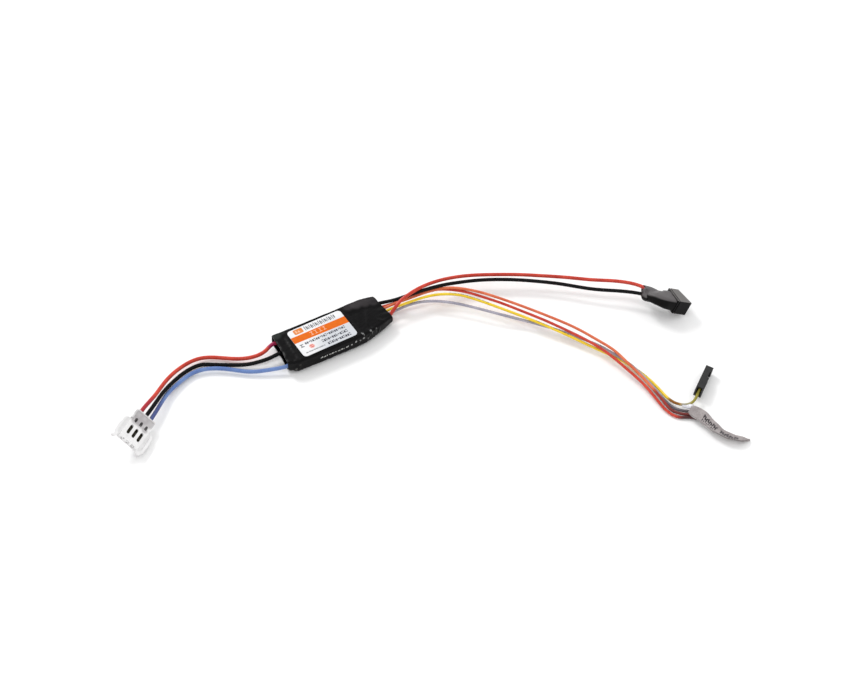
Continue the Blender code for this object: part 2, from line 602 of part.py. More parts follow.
def build_single_plug():
    frame = plug_frame("single_plug_frame", SINGLE_PLUG_PLACE)
    half = SINGLE_LENGTH / 2
    side = SINGLE_SIDE / 2
    cavity = SINGLE_CAVITY / 2
    housing = box_mesh((-half, -side, -side), (half, side, side), bevel=0.0001)
    cuts = [
        box_mesh((-half - 0.001, -cavity, -cavity), (half + 0.001, cavity, cavity)),
        box_mesh((0.0008, -side - 0.001, -cavity), (0.0032, -cavity + 0.0003, cavity)),
        box_mesh((-half - 0.001, -cavity, 0.0), (-half + 0.0021, cavity, side + 0.001)),
    ]
    place("single_plug_housing", joined(housing, cuts, "DIFFERENCE"), "black_plastic", frame)
    place("single_plug_contact", contact_mesh(0.0070, 0.0012, 0.0007), "contact", frame,
          (-0.0022, 0.0, 0.0))


def build_tag():
    """A printed film folded round the lead: two bonded layers, so one thin twisting strip."""
    rings = []
    last = len(TAG_STATIONS) - 1
    for i, (far, near) in enumerate(TAG_STATIONS):
        far, near = Vector(far), Vector(near)
        before = TAG_STATIONS[max(i - 1, 0)]
        after = TAG_STATIONS[min(i + 1, last)]
        along = (Vector(after[0]) + Vector(after[1])) - (Vector(before[0]) + Vector(before[1]))
        lift = along.cross(near - far).normalized() * TAG_THICKNESS / 2
        if lift.z < 0:
            lift = -lift
        rings.append([far + lift, near + lift, near - lift, far - lift])
    place("lead_tag", loft_mesh(rings), "tag_film")


def main():
    clear_scene()
    build_sleeve()
    build_label()
    build_board()
    build_components()
    build_wires()
    build_motor_plug()
    build_battery_plug()
    build_plug_shrink()
    build_single_plug()
    build_tag()


main()
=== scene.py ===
"""The finished look of the speed controller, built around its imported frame.

Lengths are in millimetres and places are in the frame's axes, unless a comment says otherwise.
Lengths become metres where Blender is given them.
"""

import math
from collections import namedtuple

import bmesh
import bpy
import numpy as np
from mathutils import Euler, Matrix, Vector, noise


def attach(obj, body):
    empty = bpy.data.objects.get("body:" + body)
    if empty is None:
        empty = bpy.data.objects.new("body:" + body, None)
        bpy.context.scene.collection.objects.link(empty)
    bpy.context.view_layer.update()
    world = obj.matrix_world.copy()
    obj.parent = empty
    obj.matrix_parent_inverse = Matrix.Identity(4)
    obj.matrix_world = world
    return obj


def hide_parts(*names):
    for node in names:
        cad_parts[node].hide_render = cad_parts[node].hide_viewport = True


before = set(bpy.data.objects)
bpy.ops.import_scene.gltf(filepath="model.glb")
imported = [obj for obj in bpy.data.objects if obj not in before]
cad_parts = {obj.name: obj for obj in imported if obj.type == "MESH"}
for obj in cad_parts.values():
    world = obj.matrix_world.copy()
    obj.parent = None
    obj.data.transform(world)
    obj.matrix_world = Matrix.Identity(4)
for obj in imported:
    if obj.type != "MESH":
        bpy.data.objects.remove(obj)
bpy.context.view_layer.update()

UP = Vector((0.0, 0.0, 1.0))
MM = 0.001

# ---------------- camera, light and floor

VIEW_TARGET = Vector((25.3016, -14.3058, 0.0))
VIEW_BACK = Vector((-0.322064, -0.571576, 0.754710))
VIEW_DISTANCE = 600.0
FOCAL_LENGTH = 78.78
SENSOR_WIDTH = 36.0
NEAREST_SEEN = 10.0
SKY_STRENGTH = 1.0
LIGHT_TARGET = Vector((20.0, -10.0, 0.0))
# Name, place, width and power in watts of each soft light.
SOFTBOXES = [
    ("key", (-150.0, 740.0, 720.0), 300.0, 5.0),
    ("fill", (-500.0, -500.0, 800.0), 600.0, 0.5),
]
FLOOR_REACH = 3000.0
FLOOR_DROP = 0.04
FLOOR_COLOUR = (0.92, 0.92, 0.92)
FLOOR_ROUGHNESS = 0.75


def build_stage():
    bpy.context.scene.view_settings.view_transform = "Standard"
    add_camera()
    add_sky()
    for name, place, size, power in SOFTBOXES:
        add_softbox(name, place, size, power)
    add_floor()


def add_camera():
    lens = bpy.data.cameras.new("camera")
    lens.lens = FOCAL_LENGTH
    lens.sensor_width = SENSOR_WIDTH
    lens.clip_start = NEAREST_SEEN * MM
    camera = new_object("camera", lens)
    camera.location = (VIEW_TARGET + VIEW_BACK * VIEW_DISTANCE) * MM
    camera.rotation_euler = (-VIEW_BACK).to_track_quat("-Z", "Y").to_euler()
    bpy.context.scene.camera = camera


def add_sky():
    world = bpy.data.worlds.new("studio")
    world.use_nodes = True
    sky = world.node_tree.nodes["Background"]
    sky.inputs["Color"].default_value = (1.0, 1.0, 1.0, 1.0)
    sky.inputs["Strength"].default_value = SKY_STRENGTH
    bpy.context.scene.world = world


def add_softbox(name, place, size, power):
    light = bpy.data.lights.new(name, "AREA")
    light.shape = "SQUARE"
    light.size = size * MM
    light.energy = power
    lamp = new_object(name, light)
    lamp.location = Vector(place) * MM
    lamp.rotation_euler = (LIGHT_TARGET - Vector(place)).to_track_quat("-Z", "Y").to_euler()


def add_floor():
    reach = FLOOR_REACH
    corners = [(-reach, -reach, 0), (reach, -reach, 0), (reach, reach, 0), (-reach, reach, 0)]
    floor = new_object("floor", mesh_of(corners, [(0, 1, 2, 3)], "floor"))
    floor.location.z = -FLOOR_DROP * MM
    paint(floor, plain_material("floor_white", FLOOR_COLOUR, FLOOR_ROUGHNESS))


# ---------------- small helpers


def new_object(name, data):
    made = bpy.data.objects.new(name, data)
    bpy.context.scene.collection.objects.link(made)
    return made


def mesh_of(points, faces, name="mesh"):
    data = bpy.data.meshes.new(name)
    data.from_pydata([[c * MM for c in point] for point in points], [], faces)
    data.update()
    return data


def mesh_from(shape, name):
    data = bpy.data.meshes.new(name)
    shape.to_mesh(data)
    shape.free()
    return data


def closed_mesh(points, faces):
    """A mesh whose faces all look outwards."""
    data = mesh_of(points, faces)
    shape = bmesh.new()
    shape.from_mesh(data)
    bmesh.ops.recalc_face_normals(shape, faces=shape.faces)
    shape.to_mesh(data)
    shape.free()
    return data


def paint(item, finish):
    item.data.materials.clear()
    item.data.materials.append(finish)


def piece(name, data, finish, replaces=()):
    """A shown piece of the object, riding on its one body."""
    made = new_object(name, data)
    paint(made, finish)
    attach(made, "root")
    if replaces:
        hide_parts(*replaces)
    return made


def smooth(item, angle):
    """Smooth shading, with sharp edges where faces meet at more than this many degrees."""
    item.data.shade_smooth()
    item.data.set_sharp_from_angle(angle=math.radians(angle))


def bevelled(item, width, segments, angle):
    """Rounds the edges where faces meet at more than this many degrees."""
    change = item.modifiers.new("Bevel", "BEVEL")
    change.width = width * MM
    change.segments = segments
    change.limit_method = "ANGLE"
    change.angle_limit = math.radians(angle)
    change.harden_normals = True
    item.data.shade_smooth()


def box(low, high):
    shape = bmesh.new()
    bmesh.ops.create_cube(shape, size=1.0)
    size = [b - a for a, b in zip(low, high)]
    middle = [(a + b) / 2 for a, b in zip(low, high)]
    for vertex in shape.verts:
        vertex.co = Vector([(c * s + m) * MM for c, s, m in zip(vertex.co, size, middle)])
    return mesh_from(shape, "box")


def prism(outline, low, high):
    shape = bmesh.new()
    face = shape.faces.new([shape.verts.new((x * MM, y * MM, low * MM)) for x, y in outline])
    grown = bmesh.ops.extrude_face_region(shape, geom=[face])
    raised = [item for item in grown["geom"] if isinstance(item, bmesh.types.BMVert)]
    bmesh.ops.translate(shape, verts=raised, vec=(0.0, 0.0, (high - low) * MM))
    bmesh.ops.recalc_face_normals(shape, faces=shape.faces)
    return mesh_from(shape, "prism")


def carve(base, tools, operation="DIFFERENCE"):
    for tool in tools:
        first = new_object("first", base)
        second = new_object("second", tool)
        change = first.modifiers.new("Boolean", "BOOLEAN")
        change.operation = operation
        change.solver = "EXACT"
        change.object = second
        graph = bpy.context.evaluated_depsgraph_get()
        base = bpy.data.meshes.new_from_object(first.evaluated_get(graph))
        for item in (first, second):
            bpy.data.objects.remove(item, do_unlink=True)
    return base


def place_matrix(place):
    """The move to a place: its origin, and its turns about X, Y and Z in degrees."""
    location, turns = place
    turned = Euler([math.radians(turn) for turn in turns])
    return Matrix.Translation(location) @ turned.to_matrix().to_4x4()


def placed(data, place):
    matrix = place_matrix(place)
    matrix.translation *= MM
    data.transform(matrix)
    return data


def ease(value, low, high):
    """Rises smoothly from 0 at low to 1 at high."""
    t = min(1.0, max(0.0, (value - low) / (high - low)))
    return t * t * (3.0 - 2.0 * t)


CURVE_SAMPLES = 40  # for each point of a curve, to measure along it


def natural_curve(points, count):
    """Natural cubic curve through the points, with count points evenly along its length."""
    points = np.array(points)
    chord = np.linalg.norm(np.diff(points, axis=0), axis=1)
    knots = np.concatenate([[0.0], np.cumsum(chord ** 0.5)])
    step = np.diff(knots)
    size = len(points)
    system = np.eye(size)
    wanted = np.zeros((size, points.shape[1]))
    for i in range(1, size - 1):
        system[i, i - 1] = step[i - 1]
        system[i, i] = 2 * (step[i - 1] + step[i])
        system[i, i + 1] = step[i]
        wanted[i] = 6 * ((points[i + 1] - points[i]) / step[i]
                         - (points[i] - points[i - 1]) / step[i - 1])
    bend = np.linalg.solve(system, wanted)
    fine = np.linspace(0.0, knots[-1], CURVE_SAMPLES * size)
    part = np.clip(np.searchsorted(knots, fine) - 1, 0, size - 2)
    after = (knots[part + 1] - fine)[:, None]
    before = (fine - knots[part])[:, None]
    width = step[part][:, None]
    curve = (
        bend[part] * after ** 3 / (6 * width)
        + bend[part + 1] * before ** 3 / (6 * width)
        + (points[part] / width - bend[part] * width / 6) * after
        + (points[part + 1] / width - bend[part + 1] * width / 6) * before
    )
    run = np.concatenate([[0.0], np.cumsum(np.linalg.norm(np.diff(curve, axis=0), axis=1))])
    even = np.linspace(0.0, run[-1], count)
    spots = np.column_stack([np.interp(even, run, curve[:, k]) for k in range(curve.shape[1])])
    return spots, run[-1]


def curve_length(points):
    return natural_curve(points, 2)[1]


def direction_at(rows, i):
    """The way the curve runs at row i, between the rows on either side."""
    return Vector(rows[min(i + 1, len(rows) - 1)][:3]) - Vector(rows[max(i - 1, 0)][:3])


def level_sides(ahead):
    """The level direction across the way ahead, and the one at right angles to both."""
    across = UP.cross(ahead).normalized()
    return across, ahead.cross(across).normalized()


def solids(bodies):
    """One mesh of closed solids, each given by its rings of points from one end to the other."""
    points, faces = [], []
    for rings in bodies:
        start, count = len(points), len(rings[0])
        points += [point for ring in rings for point in ring]
        last = len(points) - count
        for a in range(start, last, count):
            for k in range(count):
                j = (k + 1) % count
                faces.append((a + k, a + j, a + count + j, a + count + k))
        faces.append(tuple(range(start, start + count)))
        faces.append(tuple(range(last + count - 1, last - 1, -1)))
    return closed_mesh(points, faces)


def open_tube(outer, inner):
    """A mesh of a tube's wall, given by the rings of its outside and those of its inside."""
    rings = outer + inner[::-1]
    count = len(rings[0])
    faces = []
    for i in range(len(rings)):
        a, b = i * count, (i + 1) % len(rings) * count
        for k in range(count):
            j = (k + 1) % count
            faces.append((a + k, a + j, b + j, b + k))
    return closed_mesh([point for ring in rings for point in ring], faces)


# ---------------- materials

# The colours of a mottled finish, its least and greatest roughness, the sizes of its mottling and
# of its grain, the depth of its relief, its specular level, and 1 for metal.
Finish = namedtuple("Finish", "name dark light roughness blotch grain relief specular metallic",
                    defaults=(0.5, 0.0))
NOISE_SPAN = (0.3, 0.7)  # nearly all of a noise texture's values
MOTTLING_DETAIL = 5.0
GRAIN_DETAIL = 6.0
BUMP_STRENGTH = 0.6


def ink(name, dark, light, specular=0.3):
    return Finish(name, dark, light, (0.34, 0.46), 1.5, 0.4, 0.01, specular)


def insulation(name, dark, light, specular=0.26):
    return Finish(name, dark, light, (0.20, 0.34), 4.0, 0.5, 0.02, specular)


FINISHES = {
    "sleeve": Finish("heat_shrink_film", (0.0012, 0.0011, 0.0013), (0.0028, 0.0025, 0.0029),
                     (0.24, 0.40), 3.5, 0.9, 0.05, 0.09),
    "shrink": Finish("plug_shrink_film", (0.0012, 0.0011, 0.0012), (0.0030, 0.0027, 0.0029),
                     (0.26, 0.42), 3.5, 0.9, 0.05, 0.10),
    "label": Finish("label_stock", (0.66, 0.66, 0.675), (0.74, 0.74, 0.75),
                    (0.34, 0.46), 4.0, 0.6, 0.01, 0.3),
    "label_orange": ink("label_orange_ink", (0.60, 0.108, 0.001), (0.66, 0.128, 0.003), 0.14),
    "label_icon": ink("label_icon_ink", (0.56, 0.16, 0.022), (0.68, 0.22, 0.04)),
    "label_pale": ink("label_pale_ink", (0.72, 0.34, 0.20), (0.80, 0.48, 0.34)),
    "label_dark": ink("label_dark_ink", (0.020, 0.020, 0.035), (0.05, 0.05, 0.07)),
    "label_grey": ink("label_grey_ink", (0.055, 0.060, 0.070), (0.12, 0.13, 0.14)),
    "label_red": ink("label_red_ink", (0.50, 0.06, 0.05), (0.62, 0.12, 0.10)),
    "label_pink": ink("label_pink_ink", (0.66, 0.30, 0.27), (0.76, 0.44, 0.40)),
    "side_print": Finish("film_pale_print", (0.34, 0.34, 0.33), (0.62, 0.62, 0.60),
                         (0.40, 0.55), 0.6, 0.3, 0.01),
    "board": Finish("solder_mask", (0.008, 0.09, 0.04), (0.012, 0.13, 0.055),
                    (0.25, 0.40), 2.0, 0.5, 0.02),
    "package": Finish("moulded_package", (0.014, 0.014, 0.015), (0.028, 0.028, 0.03),
                      (0.45, 0.62), 1.0, 0.3, 0.03),
    "ceramic": Finish("capacitor_ceramic", (0.40, 0.27, 0.15), (0.52, 0.37, 0.22),
                      (0.40, 0.55), 1.0, 0.3, 0.02),
    "solder": Finish("solder_metal", (0.55, 0.55, 0.57), (0.72, 0.72, 0.74),
                     (0.18, 0.38), 0.6, 0.3, 0.04, metallic=1.0),
    "contact": Finish("plated_metal", (0.018, 0.017, 0.012), (0.045, 0.042, 0.030),
                      (0.28, 0.46), 0.8, 0.3, 0.02, metallic=1.0),
    "white": Finish("white_nylon", (0.74, 0.735, 0.735), (0.82, 0.815, 0.815),
                    (0.26, 0.40), 2.2, 0.5, 0.03, 0.45),
    "black": Finish("black_nylon", (0.0024, 0.0022, 0.0024), (0.0050, 0.0046, 0.0048),
                    (0.34, 0.50), 2.0, 0.3, 0.03, 0.12),
    "housing": Finish("black_housing_nylon", (0.014, 0.014, 0.0145), (0.022, 0.022, 0.022),
                      (0.44, 0.58), 2.0, 0.3, 0.03, 0.32),
    "tag": Finish("tag_film", (0.25, 0.22, 0.22), (0.37, 0.335, 0.33),
                  (0.20, 0.38), 2.6, 0.6, 0.04, 0.4),
    "wrap": Finish("wrap_film", (0.50, 0.50, 0.55), (0.74, 0.74, 0.78),
                   (0.12, 0.25), 1.2, 0.5, 0.08),
    "tag_ink": Finish("tag_ink", (0.020, 0.016, 0.020), (0.06, 0.05, 0.055),
                      (0.35, 0.50), 1.0, 0.4, 0.01, 0.3),
    "wire_red": insulation("wire_insulation_red", (0.42, 0.026, 0.014), (0.58, 0.060, 0.034)),
    "wire_black": insulation("wire_insulation_black", (0.0018, 0.0018, 0.0022),
                             (0.0045, 0.0042, 0.0050), 0.10),
    "wire_blue": insulation("wire_insulation_blue", (0.090, 0.155, 0.38), (0.145, 0.235, 0.48)),
    "wire_orange": insulation("wire_insulation_orange", (0.56, 0.105, 0.042),
                              (0.68, 0.17, 0.075)),
    "wire_yellow": insulation("wire_insulation_yellow", (0.70, 0.46, 0.014),
                              (0.82, 0.60, 0.045)),
    "wire_grey": insulation("wire_insulation_grey", (0.25, 0.24, 0.295), (0.38, 0.36, 0.42)),
}
# Finish and colour of the painted light on faces that look up: lighter on top, where the light falls.
UPWARD_PAINTED_LIGHT = [("shrink", (0.105, 0.098, 0.100)), ("black", (0.135, 0.128, 0.124))]
UPWARD_LIGHT_SPAN = (0.50, 0.90)  # of the upward part of the way a face looks
TINT_CORE = 0.45  # of a tinted place's reach, where it is at full strength
# Finish, centre, reach, tint and strength of the shade on the label and at the battery shrink's mouth.
SHADE = [
    ("label", (1.0, -6.0, 5.5), 12.0, (0.50, 0.52, 0.555), 0.85),
    ("shrink", (94.8, -37.6, 5.8), 2.9, (0.012, 0.003, 0.004), 0.95),
]
# Centre and reach, in the motor plug's own axes, of the painted shade that makes places on the white
# plastic greyer.
PLUG_SHADE = [
    ((-4.0, -2.2, 1.3), 2.2), ((-4.0, 0.0, 1.3), 2.2),
    ((-4.0, 2.2, 1.3), 2.2), ((-2.0, 0.0, 1.3), 2.2),
    ((-1.8, -2.0, 1.3), 2.2), ((-1.0, 2.0, 1.3), 1.4),
]
# The same for the fainter shade along the plug's front edge and ears.
PLUG_EDGE_SHADE = [
    ((5.4, -2.6, -1.4), 1.7), ((5.4, 0.0, -1.4), 1.7),
    ((5.4, 2.6, -1.4), 1.7), ((6.6, 5.0, -1.2), 1.6),
    ((6.6, -5.0, -1.2), 1.6), ((2.0, 6.2, -1.4), 2.0),
    ((4.0, 6.2, -1.4), 1.8), ((2.0, -6.2, -1.0), 2.2),
]
# Centre, reach and tint of the painted highlights, glints and sheen on the sleeve: along its far top
# edge and on the crests of its folds.
FILM_HIGHLIGHTS = [
    ((-17.6, 6.4, 5.4), 2.2, (0.022, 0.026, 0.024)),
    ((-15.2, 7.0, 5.4), 1.4, (0.016, 0.018, 0.017)),
    ((8.2, 6.2, 5.3), 2.2, (0.026, 0.023, 0.025)),
    ((10.8, 6.0, 5.3), 2.6, (0.038, 0.034, 0.036)),
    ((13.8, 5.6, 5.2), 2.6, (0.034, 0.030, 0.032)),
    ((16.4, 5.0, 5.0), 2.4, (0.026, 0.023, 0.025)),
    ((6.9, -5.8, 5.3), 0.4, (0.16, 0.16, 0.16)),
    ((7.1, -6.2, 5.3), 0.4, (0.22, 0.22, 0.22)),
    ((7.3, -6.6, 5.0), 0.4, (0.14, 0.14, 0.14)),
    ((10.0, -6.1, 5.0), 0.5, (0.22, 0.22, 0.22)),
    ((10.4, -6.3, 4.2), 0.5, (0.12, 0.12, 0.12)),
    ((5.7, -7.0, 3.6), 0.4, (0.22, 0.22, 0.22)),
    ((12.2, -5.8, 4.6), 0.36, (0.12, 0.12, 0.12)),
    ((4.1, -7.0, 3.8), 0.52, (0.42, 0.42, 0.42)),
    ((7.0, -6.9, 3.8), 0.55, (0.30, 0.30, 0.30)),
    ((2.6, -7.0, 3.2), 0.4, (0.40, 0.40, 0.40)),
    ((8.7, -6.7, 2.8), 0.45, (0.10, 0.10, 0.10)),
    ((-17.9, -6.2, 1.2), 0.7, (0.30, 0.30, 0.29)),
    ((-17.1, -6.6, 2.2), 0.6, (0.08, 0.08, 0.075)),
    ((-15.7, -6.9, 3.6), 0.6, (0.030, 0.028, 0.026)),
]
PLUG_TINT = (0.36, 0.34, 0.35)
PLUG_STRENGTH = 0.75
PLUG_EDGE_TINT = (0.50, 0.48, 0.49)
PLUG_EDGE_STRENGTH = 0.50
HIGHLIGHT_STRENGTH = 0.85
# Colour, centre, reach and tint of the places where the insulation turns towards a tint: painted
# shadow where the signal wires run under the tag, painted shade where the battery red goes into the
# shrink's mouth, and elsewhere duller and browner near the tag, darker near the motor plug and pinker
# where the motor red leaves the sleeve.
WIRE_SHADE_AND_TINTS = [
    ("yellow", (82.6, -78.6, 1.5), 2.6, (0.34, 0.32, 0.26)),
    ("yellow", (79.9, -76.0, 1.5), 3.0, (0.24, 0.09, 0.010)),
    ("yellow", (87.0, -78.1, 2.5), 5.8, (0.27, 0.235, 0.035)),
    ("blue", (-66.0, -3.7, 2.8), 11.0, (0.060, 0.080, 0.230)),
    ("red", (-67.5, -0.8, 5.2), 8.5, (0.36, 0.020, 0.030)),
    ("red", (-19.6, 6.0, 2.7), 2.2, (0.34, 0.015, 0.075)),
    # painted shadow where these three run under the tag
    ("red", (81.5, -84.8, 0.6), 6.6, (0.070, 0.020, 0.022)),
    ("orange", (82.2, -84.5, 0.7), 7.5, (0.16, 0.035, 0.030)),
    ("grey", (82.6, -82.8, 0.7), 8.5, (0.085, 0.070, 0.078)),
    ("grey", (78.5, -76.0, 0.9), 5.0, (0.14, 0.125, 0.15)),
    ("orange", (77.2, -73.7, 1.5), 6.0, (0.30, 0.030, 0.020)),
    ("orange", (78.5, -80.0, 0.9), 5.0, (0.17, 0.028, 0.024)),
    # painted shade where the battery red goes into the shrink's mouth
    ("red", (96.7, -37.2, 6.3), 4.6, (0.24, 0.010, 0.020)),
]
# The colour sockets of a Mix node. Its sockets for other kinds of value have the same names.
MIX_UNDER, MIX_OVER, MIX_RESULT = 6, 7, 2


def plain_material(name, colour, roughness, metallic=0.0):
    made = bpy.data.materials.new(name)
    made.use_nodes = True
    shader = made.node_tree.nodes["Principled BSDF"]
    shader.inputs["Base Color"].default_value = (*colour, 1.0)
    shader.inputs["Roughness"].default_value = roughness
    shader.inputs["Metallic"].default_value = metallic
    return made


def noise_node(tree, size, detail):
    place = tree.nodes.new("ShaderNodeTexCoord")
    grain = tree.nodes.new("ShaderNodeTexNoise")
    grain.inputs["Scale"].default_value = 1.0 / (size * MM)
    grain.inputs["Detail"].default_value = detail
    tree.links.new(place.outputs["Object"], grain.inputs["Vector"])
    return grain.outputs["Fac"]


def range_node(tree, source, span, results, interpolation="SMOOTHSTEP"):
    """Goes from the first result to the second as the source goes over the span."""
    change = tree.nodes.new("ShaderNodeMapRange")
    change.interpolation_type = interpolation
    for name, value in zip(("From Min", "From Max", "To Min", "To Max"), (*span, *results)):
        change.inputs[name].default_value = value
    tree.links.new(source, change.inputs["Value"])
    return change.outputs["Result"]


def finish_material(look):
    made = plain_material(look.name, look.dark, sum(look.roughness) / 2, look.metallic)
    tree = made.node_tree
    shader = tree.nodes["Principled BSDF"]
    shader.inputs["Specular IOR Level"].default_value = look.specular

    tint = tree.nodes.new("ShaderNodeValToRGB")
    for stop, place, colour in zip(tint.color_ramp.elements, NOISE_SPAN, (look.dark, look.light)):
        stop.position = place
        stop.color = (*colour, 1.0)
    tree.links.new(noise_node(tree, look.blotch, MOTTLING_DETAIL), tint.inputs["Fac"])
    tree.links.new(tint.outputs["Color"], shader.inputs["Base Color"])

    grain = noise_node(tree, look.grain, GRAIN_DETAIL)
    rough = range_node(tree, grain, NOISE_SPAN, look.roughness, "LINEAR")
    tree.links.new(rough, shader.inputs["Roughness"])
    bump = tree.nodes.new("ShaderNodeBump")
    bump.inputs["Strength"].default_value = BUMP_STRENGTH
    bump.inputs["Distance"].default_value = look.relief * MM
    tree.links.new(grain, bump.inputs["Height"])
    tree.links.new(bump.outputs["Normal"], shader.inputs["Normal"])
    return made


def mix_over(finish, amount, colour):
    """Mixes a colour over the finish's own, as far as the amount says."""
    tree = finish.node_tree
    base = tree.nodes["Principled BSDF"].inputs["Base Color"]
    blend = tree.nodes.new("ShaderNodeMix")
    blend.data_type = "RGBA"
    blend.inputs[MIX_OVER].default_value = (*colour, 1.0)
    tree.links.new(amount, blend.inputs["Factor"])
    tree.links.new(base.links[0].from_socket, blend.inputs[MIX_UNDER])
    tree.links.new(blend.outputs[MIX_RESULT], base)


def tinted_round(finish, centre, reach, colour, strength=1.0):
    """Turns the finish towards another colour round one place on the object: painted shade, painted
    highlights or another tint.
    """
    tree = finish.node_tree
    spots = tree.nodes.new("ShaderNodeTexCoord")
    away = tree.nodes.new("ShaderNodeVectorMath")
    away.operation = "DISTANCE"
    away.inputs[1].default_value = Vector(centre) * MM
    tree.links.new(spots.outputs["Object"], away.inputs[0])
    span = (reach * MM * TINT_CORE, reach * MM)
    mix_over(finish, range_node(tree, away.outputs["Value"], span, (strength, 0.0)), colour)


def lit_from_above(finish, colour):
    """Paints light on the faces that look up, making them lighter where the light falls from above."""
    tree = finish.node_tree
    surface = tree.nodes.new("ShaderNodeNewGeometry")
    parts = tree.nodes.new("ShaderNodeSeparateXYZ")
    tree.links.new(surface.outputs["Normal"], parts.inputs["Vector"])
    mix_over(finish, range_node(tree, parts.outputs["Z"], UPWARD_LIGHT_SPAN, (0.0, 1.0)), colour)


def make_finishes():
    made = {key: finish_material(look) for key, look in FINISHES.items()}
    # Painted shadow and shade, and darker tints, on the wires.
    for colour, centre, reach, tint in WIRE_SHADE_AND_TINTS:
        tinted_round(made[f"wire_{colour}"], centre, reach, tint)
    # Painted highlights, glints and sheen on the sleeve film.
    for centre, reach, tint in FILM_HIGHLIGHTS:
        tinted_round(made["sleeve"], centre, reach, tint, HIGHLIGHT_STRENGTH)
    # Painted light on the upward faces of the battery plug and its shrink.
    for key, colour in UPWARD_PAINTED_LIGHT:
        lit_from_above(made[key], colour)
    plug = place_matrix(MOTOR_PLUG_PLACE)
    # Painted shade on the white motor plug.
    for spot, reach in PLUG_SHADE:
        tinted_round(made["white"], plug @ Vector(spot), reach, PLUG_TINT, PLUG_STRENGTH)
    for spot, reach in PLUG_EDGE_SHADE:
        tinted_round(made["white"], plug @ Vector(spot), reach, PLUG_EDGE_TINT, PLUG_EDGE_STRENGTH)
    for key, centre, reach, tint, strength in SHADE:
        tinted_round(made[key], centre, reach, tint, strength)
    return made


# ---------------- wires

MOTOR_ROUTES = {
    "red": [
        (-13.4, 4.4, 3.0), (-16.0, 5.4, 3.0), (-18.8, 6.0, 2.8), (-20.6, 5.7, 2.5),
        (-22.7, 4.9, 2.2), (-26.7, 5.1, 1.7), (-32.2, 7.8, 1.2), (-38.3, 12.0, 1.1),
        (-43.4, 13.3, 1.4), (-49.4, 11.9, 2.0), (-55.1, 8.7, 3.0), (-61.2, 3.6, 4.5),
        (-65.9, 0.4, 5.2), (-69.0, -1.9, 5.3),
    ],
    "black": [
        (-13.4, 0.4, 3.0), (-16.0, 1.1, 2.9), (-18.8, 1.5, 2.7), (-21.9, 1.5, 2.4),
        (-24.4, 1.8, 2.1), (-29.8, 3.4, 1.5), (-35.0, 6.6, 1.0), (-38.7, 8.9, 0.9),
        (-42.1, 10.7, 1.0), (-46.5, 10.6, 1.3), (-51.8, 8.5, 2.0), (-57.7, 4.8, 3.1),
        (-62.4, 1.1, 3.7), (-68.1, -3.2, 4.1),
    ],
    "blue": [
        (-13.4, -3.6, 2.9), (-16.0, -4.0, 2.8), (-18.8, -4.3, 2.5), (-21.7, -3.5, 2.1),
        (-24.5, -2.4, 1.8), (-29.3, -0.2, 1.4), (-33.3, 2.6, 1.4), (-37.2, 5.6, 1.5),
        (-41.9, 8.1, 1.4), (-46.5, 8.7, 1.3), (-51.6, 7.1, 1.5), (-56.8, 4.3, 2.0),
        (-61.5, 0.3, 2.6), (-67.2, -4.5, 2.9),
    ],
}
BATTERY_ROUTES = {
    "red": [
        (8.9, -1.9, 2.9), (12.2, -1.8, 2.9), (15.6, -1.8, 2.9), (18.7, -1.8, 3.0),
        (20.6, -1.3, 3.8), (22.4, -0.6, 4.9), (24.5, 0.2, 5.5), (26.9, 0.5, 6.2),
        (29.8, 0.8, 6.7), (34.5, 1.5, 6.3), (41.5, 1.6, 5.3), (49.3, -0.1, 4.5),
        (56.1, -3.3, 4.4), (64.1, -7.8, 4.4), (70.4, -11.9, 4.4), (77.9, -17.2, 4.5),
        (83.9, -21.8, 4.6), (89.9, -26.0, 4.8), (94.7, -30.7, 5.2), (96.5, -34.7, 5.7),
        (96.5, -38.2, 6.5), (97.4, -40.5, 6.9),
    ],
    "black": [
        (8.9, 4.6, 2.9), (12.2, 4.8, 2.9), (15.6, 4.9, 2.9), (18.6, 4.7, 2.9), (20.4, 4.2, 3.0),
        (22.2, 3.4, 3.4), (24.4, 2.5, 4.0), (28.5, 1.4, 5.0), (33.6, 0.5, 5.5),
        (37.5, -0.2, 5.6), (41.2, -0.7, 5.2), (45.8, -1.6, 4.6), (51.3, -3.3, 4.2),
        (58.1, -6.7, 4.2), (64.5, -10.7, 4.2), (69.1, -14.0, 4.2), (74.8, -18.7, 4.3),
        (81.8, -25.1, 4.4), (88.1, -29.9, 4.7), (92.5, -33.8, 5.2), (94.9, -37.0, 5.7),
        (95.3, -40.0, 6.7), (96.5, -42.3, 7.1),
    ],
}
